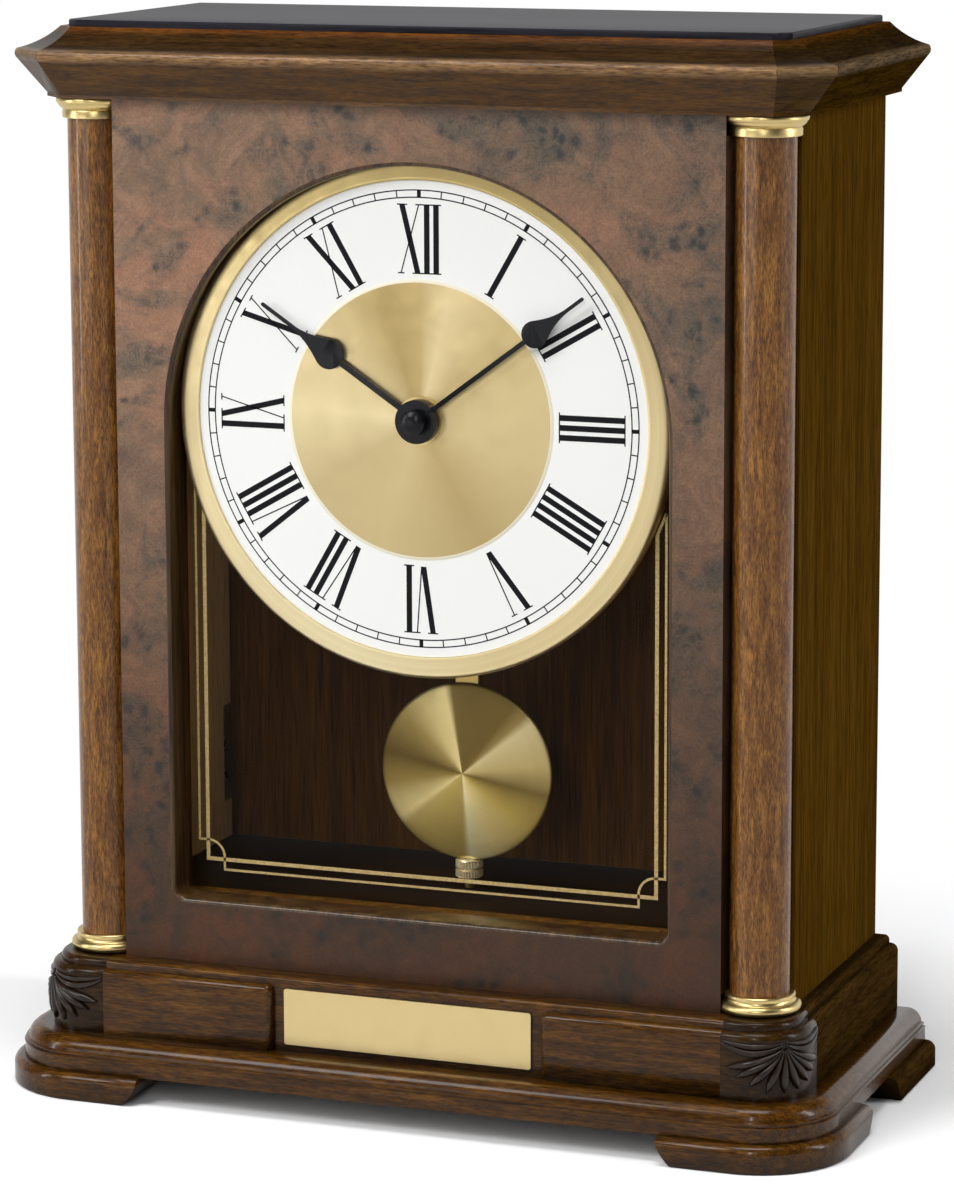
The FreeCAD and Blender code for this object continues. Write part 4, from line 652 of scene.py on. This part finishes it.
# A serif overhangs a thick stroke's sides, and reaches both ways from a thin one, which stands in from the
# letter's edge. The strokes of a V meet at a share of its width.
thin, thick, overhang = 0.38, 1.75, 0.75
thin_in, thin_reach, v_point, v_overlap = 0.5, 1.0, 0.60, 0.7
# Radii of the track's hairlines, and half the width, the inner and the outer radius of its ticks.
hairlines = ((66.4, 66.77), (68.55, 68.92))
minute_tick, hour_tick = (0.18, 66.7, 68.6), (0.6, 66.5, 68.8)


def slabs(name, quads, y_back, lift):
    """Flat quads, given as n x 4 x 2 (x, z) in mm, each raised to a closed plate of the given lift."""
    quads = np.array(quads, float)
    x, z = quads[..., 0], quads[..., 1]
    turn_way = (x[:, 1] - x[:, 0]) * (z[:, 2] - z[:, 0]) - (z[:, 1] - z[:, 0]) * (x[:, 2] - x[:, 0])
    flip = turn_way < 0
    quads[flip] = quads[flip, ::-1]
    x, z = quads[..., 0], quads[..., 1]
    front = np.stack([x, np.full_like(x, y_back - lift), z], axis=-1)
    rear = np.stack([x, np.full_like(x, y_back), z], axis=-1)
    points = np.concatenate([front, rear], axis=1)
    plate = np.array([(0, 1, 2, 3), (7, 6, 5, 4), (0, 4, 5, 1), (1, 5, 6, 2), (2, 6, 7, 3), (3, 7, 4, 0)])
    faces = (plate[None] + 8 * np.arange(len(quads))[:, None, None]).reshape(-1, 4)
    return mesh_piece(name, points, faces)


def stroke(a, b, width):
    """A stroke from a to b (across, up) whose ends are level: a leaning bar keeps its foot and head flat."""
    half = width / 2
    return [(a[0] - half, a[1]), (a[0] + half, a[1]), (b[0] + half, b[1]), (b[0] - half, b[1])]


def glyph(letter, left):
    """The strokes of one letter from its left edge, the spans of its head and foot serifs, and its width."""
    foot, head, half = numeral_foot, numeral_head, thick / 2
    on_thick = (left - overhang, left + thick + overhang)
    if letter == "I":
        return [stroke((left + half, foot), (left + half, head), thick)], [on_thick], [on_thick], thick
    span = v_width if letter == "V" else x_width
    low_thin, high_thin = left + thin_in, left + span - thin_in
    on_thin = (high_thin - thin_reach, high_thin + thin_reach)
    if letter == "V":
        point = left + span * v_point
        strokes = [stroke((point, foot), (left + half, head), thick),
                   stroke((point + half * v_overlap, foot), (high_thin, head), thin)]
        return strokes, [on_thick, on_thin], [], span
    strokes = [stroke((left + span - half, foot), (left + half, head), thick),
               stroke((low_thin, foot), (high_thin, head), thin)]
    feet = [(low_thin - thin_reach, low_thin + thin_reach),
            (left + span - thick - overhang, left + span + overhang)]
    return strokes, [on_thick, on_thin], feet, span


def on_dial(across, up, angle):
    """Points of the dial given across and up a ray that stands at angle clockwise from twelve."""
    return np.stack([dial_x + across * np.cos(angle) + up * np.sin(angle),
                     dial_z - across * np.sin(angle) + up * np.cos(angle)], -1)


def numeral(text, clock):
    """Letters in a row, their serifs running together, centred on their hour's ray and turned to it."""
    quads, left = [], 0.0
    for letter in text:
        strokes, heads, feet, width = glyph(letter, left)
        quads += strokes
        quads += [[(a, numeral_head), (b, numeral_head), (b, numeral_head + thin), (a, numeral_head + thin)]
                  for a, b in heads]
        quads += [[(a, numeral_foot - thin), (b, numeral_foot - thin), (b, numeral_foot), (a, numeral_foot)]
                  for a, b in feet]
        left += width + letter_gap
    quads = np.array(quads)
    return on_dial(quads[..., 0] - (left - letter_gap) / 2, quads[..., 1], np.radians(clock))


def ring_quads(inner, outer, steps=240):
    """A flat ring cut into quads between two radii."""
    a = np.radians(np.arange(steps) * 360 / steps)
    b = np.roll(a, -1)
    return np.stack([on_dial(0, r, t) for r, t in ((inner, a), (outer, a), (outer, b), (inner, b))], 1)


def tick_quads(minutes, half, inner, outer):
    """Radial ticks of half width half, from inner to outer, at each of the given minutes."""
    angle = np.radians(np.asarray(minutes) * 6.0)[:, None]
    across = np.array([-half, half, half, -half])[None]
    return on_dial(across, np.array([inner, inner, outer, outer])[None], angle)


hours = ("XII", "I", "II", "III", "IIII", "V", "VI", "VII", "VIII", "IX", "X", "XI")
print_quads = np.concatenate([numeral(text, 30 * number) for number, text in enumerate(hours)])
minutes = np.arange(60)
track = np.concatenate([ring_quads(*radii) for radii in hairlines]
                       + [tick_quads(minutes[minutes % 5 != 0], *minute_tick),
                          tick_quads(minutes[minutes % 5 == 0], *hour_tick)])
ink = paint("black_screen_ink", "#111215", 0.5, 0.1)
for name, quads in (("hour_numerals", print_quads), ("minute_track", track)):
    printed = slabs(name, quads, dial_face, print_lift)
    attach(printed, "case")
    finish_on(ink, printed)


# Hands and cap. Pressed from thin steel, stove-enamelled black and pushed onto their arbors. The enamel
# has a faint orange peel, and its rounded edges catch the light.
enamel_black = paint("black_stove_enamel", "#0c0d11", 0.3, 0.2, 0.06, 0.1, 1400.0)
for node, body in (("hour_hand", "hour_hand"), ("minute_hand", "minute_hand"), ("hand_cap", "minute_hand")):
    finish_on(enamel_black, eased(node, body, 0.12))


# Pane. Flat float glass with two fired gold lines round the part below the dial: a broad one inside
# and a fine one outside it, whose lower corners are notched by quarter circles.
glass, tree = material("float_glass")
through = add(tree, "BsdfTransparent", Color=linear("#fafafa"))
mirror = add(tree, "BsdfGlossy", Color=(1, 1, 1, 1), Roughness=0.02)
edge_on = add(tree, "Fresnel", IOR=1.5)
coating = add(tree, "Math", times, _0=edge_on, _1=0.06)
mixed = add(tree, "MixShader", _0=coating, _1=through, _2=mirror)
add(tree, "OutputMaterial", Surface=mixed)
finish_on(glass, "window_glass")


def ribbon(name, route, width, y_back, lift, least=0.35):
    """A flat line of even width along a route of (x, z) points, mitred where the route turns: half the
    width is divided by the cosine of half the turn, or by least where that is larger."""
    route = np.asarray(route, float)
    ahead = np.diff(route, axis=0)
    ahead /= np.linalg.norm(ahead, axis=1)[:, None]
    side = np.stack([-ahead[:, 1], ahead[:, 0]], -1)
    first, last = np.vstack([side[:1], side]), np.vstack([side, side[-1:]])
    mean = first + last
    mean /= np.linalg.norm(mean, axis=1)[:, None]
    reach = width / 2 / np.maximum((mean * first).sum(1), least)
    a, b = route + mean * reach[:, None], route - mean * reach[:, None]
    return slabs(name, np.stack([a[:-1], a[1:], b[1:], b[:-1]], 1), y_back, lift)


glass_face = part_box("window_glass")[0][1] / MM
inner_x, inner_low, line_gap, drop_gap = 73.0, 71.8, 2.8, 3.2
step_in, arc_r, arc_z = 3.0, 5.3, 3.9
under_rim, top_step, gold_lift = 2.0, 6.5, 0.05
outer_x, outer_low = inner_x + line_gap, inner_low - drop_gap
inner_top = dial_z - np.sqrt(bezel_r ** 2 - inner_x ** 2) - under_rim
outer_top = inner_top + top_step
bend = np.radians(np.linspace(0, 90, 12))
arc_x = outer_x - step_in
right_notch = [(outer_x, outer_low + arc_z + arc_r)]
right_notch += [(arc_x - arc_r * np.sin(t), outer_low + arc_z + arc_r * np.cos(t)) for t in bend]
right_notch += [(arc_x - arc_r, outer_low)]
inner_line = [(-inner_x, inner_top), (-inner_x, inner_low), (inner_x, inner_low), (inner_x, inner_top)]
left_notch = [(-x, z) for x, z in right_notch]
outer_line = [(-outer_x, outer_top)] + left_notch + right_notch[::-1] + [(outer_x, outer_top)]
gold, tree = material("fired_gold_line")
place = add(tree, "TexCoord").outputs["Object"]
grit = add(tree, "TexNoise", Vector=place, Scale=1500.0, Detail=2.0)
tone = add(tree, "ValToRGB", {"stops": ((0.35, "#9c8350"), (0.65, "#c0a872"))}, Fac=grit)
skin = add(tree, "BsdfPrincipled", Base_Color=tone, Metallic=0.35, Roughness=0.5)
add(tree, "OutputMaterial", Surface=skin)
for name, route, width in (("gold_line_inner", inner_line, 1.2), ("gold_line_outer", outer_line, 0.75),
                           ("gold_link_left", [(-outer_x, outer_top), (-inner_x, inner_top)], 0.9),
                           ("gold_link_right", [(outer_x, outer_top), (inner_x, inner_top)], 0.9)):
    line = ribbon(name, route, width, glass_face, gold_lift)
    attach(line, "case")
    finish_on(gold, line)


# Carving. Each corner block carries a fan of acanthus leaves cut in low relief under two swept bands.
# The carver works round the block's corner from a point just below its moulding, and the tool's fine
# marks stay under the dark stain.
block_low, block_high = np.array(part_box("corner_blocks")) / MM
block_x, block_y, turn_r = block_high[0], block_low[1], 16.0
arc_half = turn_r * np.pi / 4


def on_block(along, z, lift):
    """A point of the block's face moved out by lift: along is the way round it from the corner's middle,
    a quarter turn of radius turn_r between two flats, negative towards the front."""
    bend = np.clip(along, -arc_half, arc_half)
    t = bend / turn_r - np.pi / 4
    rest = along - bend
    nx, ny = np.cos(t), np.sin(t)
    x = block_x - turn_r + (turn_r + lift) * nx + np.minimum(rest, 0)
    y = block_y + turn_r + (turn_r + lift) * ny + np.maximum(rest, 0)
    return np.stack([x, y, z], axis=-1)


def leaf(route, widths, height, groove, rows=24, cols=11):
    """Relief along a curve of three (along, z) points: across it, u from -1 to 1, the height is
    height x (1 - u^2)^0.6, less a groove down the middle, times a swell that dies at both ends."""
    s = np.linspace(0, 1, rows)
    a, b, c = np.asarray(route, float)
    centre = ((1 - s) ** 2)[:, None] * a + (2 * s * (1 - s))[:, None] * b + (s ** 2)[:, None] * c
    step = np.gradient(centre, axis=0)
    step /= np.linalg.norm(step, axis=1)[:, None]
    side = np.stack([-step[:, 1], step[:, 0]], -1)
    width = np.interp(s, np.linspace(0, 1, len(widths)), widths)
    u = np.linspace(-1, 1, cols)
    flat = centre[:, None] + side[:, None] * (width[:, None] * u[None])[..., None]
    across = (1 - u ** 2) ** 0.6 * (1 - groove * np.exp(-(u / 0.25) ** 2))
    ends = np.clip(np.sin(np.pi * (0.04 + 0.93 * s)), 0, 1) ** 0.45
    return flat, height * ends[:, None] * across[None]


def relief_mesh(leaves, proud=0.02, depth=0.25):
    """Joins leaves into one mesh: each stands proud mm further out than its height, and is closed by a sheet
    depth mm inside the block and a wall round it."""
    points, faces, start = [], [], 0
    for flat, lift in leaves:
        rows, cols = lift.shape
        points += [on_block(flat[..., 0], flat[..., 1], lift + proud).reshape(-1, 3),
                   on_block(flat[..., 0], flat[..., 1], 0 * lift - depth).reshape(-1, 3)]
        i, j = np.meshgrid(np.arange(rows - 1), np.arange(cols - 1), indexing="ij")
        a = start + i * cols + j
        sheet = np.stack([a, a + 1, a + cols + 1, a + cols], -1).reshape(-1, 4)
        size = rows * cols
        edge = start + np.concatenate([np.arange(cols - 1), np.arange(rows - 1) * cols + cols - 1,
                                       (rows - 1) * cols + np.arange(cols - 1, 0, -1),
                                       np.arange(rows - 1, 0, -1) * cols])
        after = np.roll(edge, -1)
        faces += [sheet, sheet[:, ::-1] + size, np.stack([edge + size, after + size, after, edge], -1)]
        start += 2 * size
    return np.concatenate(points), np.concatenate(faces)


# The leaves fan out round a point and are longer towards its sides. Each is bowed: its middle lies at
# bow_reach of its reach and bow_lean of its lean. A swept band starts, bends and ends at the places in
# band_out to its side of the point. It is given by its rises there, its widths, its height and its groove.
fan_z, leaves = 35.0, []
stem_r, stem_drop, band_out = 0.8, 0.4, (0.6, 10.0, 19.2)
middle_reach, added_reach, side_lean, bow_reach, bow_lean = 14.2, 4.4, 69, 0.55, 0.84
leaf_widths, leaf_height = [0.25, 0.6, 1.0, 1.3, 1.45, 1.2, 0.1], 1.75
swept_bands = (((0.6, -4.4, 0.9), [0.3, 0.8, 1.15, 1.15, 0.9, 0.35], 1.15, 0.25),
               ((1.2, -0.9, 1.5), [0.3, 0.7, 0.9, 0.9, 0.7, 0.3], 0.95, 0.2))
for lean in (-70, -58, -42, -22, 0, 20, 38, 54, 68):
    t, reach = np.radians(lean), middle_reach + added_reach * (lean / side_lean) ** 2
    base = (stem_r * np.sin(t), fan_z - stem_drop - stem_r * np.cos(t))
    bow = (bow_reach * reach * np.sin(t * bow_lean), fan_z - bow_reach * reach * np.cos(t * bow_lean))
    tip = (reach * np.sin(t), fan_z - reach * np.cos(t))
    leaves.append(leaf([base, bow, tip], leaf_widths, leaf_height, 0.0))
for way in (-1, 1):
    for rises, widths, rise, groove in swept_bands:
        sweep = [(way * out, fan_z + up) for out, up in zip(band_out, rises)]
        leaves.append(leaf(sweep, widths, rise, groove))
carved, tree = material("carved_dark_walnut")
place = add(tree, "TexCoord").outputs["Object"]
tool = add(tree, "TexNoise", Vector=place, Scale=700.0, Detail=3.0)
tone = add(tree, "ValToRGB", {"stops": ((0.35, "#120903"), (0.65, "#281607"))}, Fac=tool)
cut = add(tree, "Bump", Strength=0.15, Distance=0.0002, Height=tool)
skin = add(tree, "BsdfPrincipled", Base_Color=tone, Roughness=0.35,
           Specular_IOR_Level=0.2, Coat_Weight=0.2, Coat_Roughness=0.1, Normal=cut)
add(tree, "OutputMaterial", Surface=skin)
points, faces = relief_mesh(leaves)
for side, sign in (("right", 1), ("left", -1)):
    placed = points * np.array([sign, 1, 1])
    fan = mesh_piece("carved_fan_" + side, placed, faces if sign < 0 else faces[:, ::-1])
    face_outwards(fan.data)
    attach(fan, "case")
    finish_on(carved, fan)


# Rating nut. Turned brass with two knurled bands and a waist between them, run on the thread at the
# rod's foot. The fingers turn it to set the rate, and its ridges glint.
low, high = np.array(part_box("rating_nut")) / MM
nut_y, nut_r, nut_bore = (low[1] + high[1]) / 2, (high[1] - low[1]) / 2, 1.56
nut_low, nut_high = low[2], high[2]
ridges, knurl_depth, waist_depth = 28, 0.26, 0.6
angle = np.linspace(0, 2 * np.pi, 144, endpoint=False)
share = np.array([0.0, 0.03, 0.08, 0.09, 0.20, 0.31, 0.42, 0.425, 0.44, 0.56, 0.575, 0.58, 0.69, 0.80, 0.91,
                  0.92, 0.97, 1.0])
radius = np.where((share > 0.43) & (share < 0.57), nut_r - waist_depth, nut_r - 0.03)
# Both ends are chamfered.
radius[[0, -1]], radius[[1, -2]] = nut_r - 0.5, nut_r - 0.2
band = ((share > 0.085) & (share < 0.43)) | ((share > 0.57) & (share < 0.915))
knurl = knurl_depth * (np.abs(np.sin(ridges / 2 * angle[None])) - 1) * band[:, None]
r = np.vstack([radius[:, None] + knurl, np.full((2, len(angle)), nut_bore)])
z = np.concatenate([nut_low + share * (nut_high - nut_low), [nut_high, nut_low]])
nut = closed_grid("rating_nut_knurled", np.stack([r * np.cos(angle), nut_y + r * np.sin(angle),
                                                  np.broadcast_to(z[:, None], r.shape)], -1), sharp=20)
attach(nut, "rating_nut")
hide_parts("rating_nut")
# Painted light: the nut's brass is much paler than the other brass, to brighten a nut that sits in shade.
finish_on(brass("turned_brass", "#fbe9b8", 0.25, metal=0.7), nut)


# Movement and fittings. A battery movement in a black moulded case, held behind the dial by its bush and
# nut, with a plain AA cell, steel contacts and stud, a green circuit board and a copper coil.
def plain(name, code, roughness, metallic=0.0, grain=500.0, depth=0.12):
    """One colour with a fine moulded or ground texture of about 1 / grain metres."""
    made, tree = material(name)
    place = add(tree, "TexCoord").outputs["Object"]
    fine = add(tree, "TexNoise", Vector=place, Scale=grain, Detail=3.0)
    relief = add(tree, "Bump", Strength=depth, Distance=0.0001, Height=fine)
    rough = add(tree, "MapRange", Value=fine, _1=0.3, _2=0.7, _3=roughness * 0.9, _4=roughness * 1.15)
    skin = add(tree, "BsdfPrincipled", Base_Color=linear(code), Roughness=rough,
               Metallic=metallic, Normal=relief)
    add(tree, "OutputMaterial", Surface=skin)
    return made


finish_on(plain("black_moulded_abs", "#16171a", 0.45), "movement_housing", "movement_cover", "setting_knob",
          "motor_unit", "pendulum_hanger")
finish_on(plain("bright_steel", "#b9bcc0", 0.28, 1.0), "battery_contacts", "pendulum_stud", "strike_plate")
finish_on(plain("ground_magnet", "#4a4b4e", 0.4, 1.0), "pendulum_magnet", "magnet_catch")
finish_on(plain("green_board", "#1f5a33", 0.4), "circuit_board")
finish_on(plain("enamelled_copper", "#a35a2c", 0.35, 0.8), "pendulum_coil")
finish_on(plain("natural_nylon", "#d8d3c4", 0.5), "bob_guide")
finish_on(plain("cell_sleeve", "#5c6066", 0.35, 0.3), "battery")
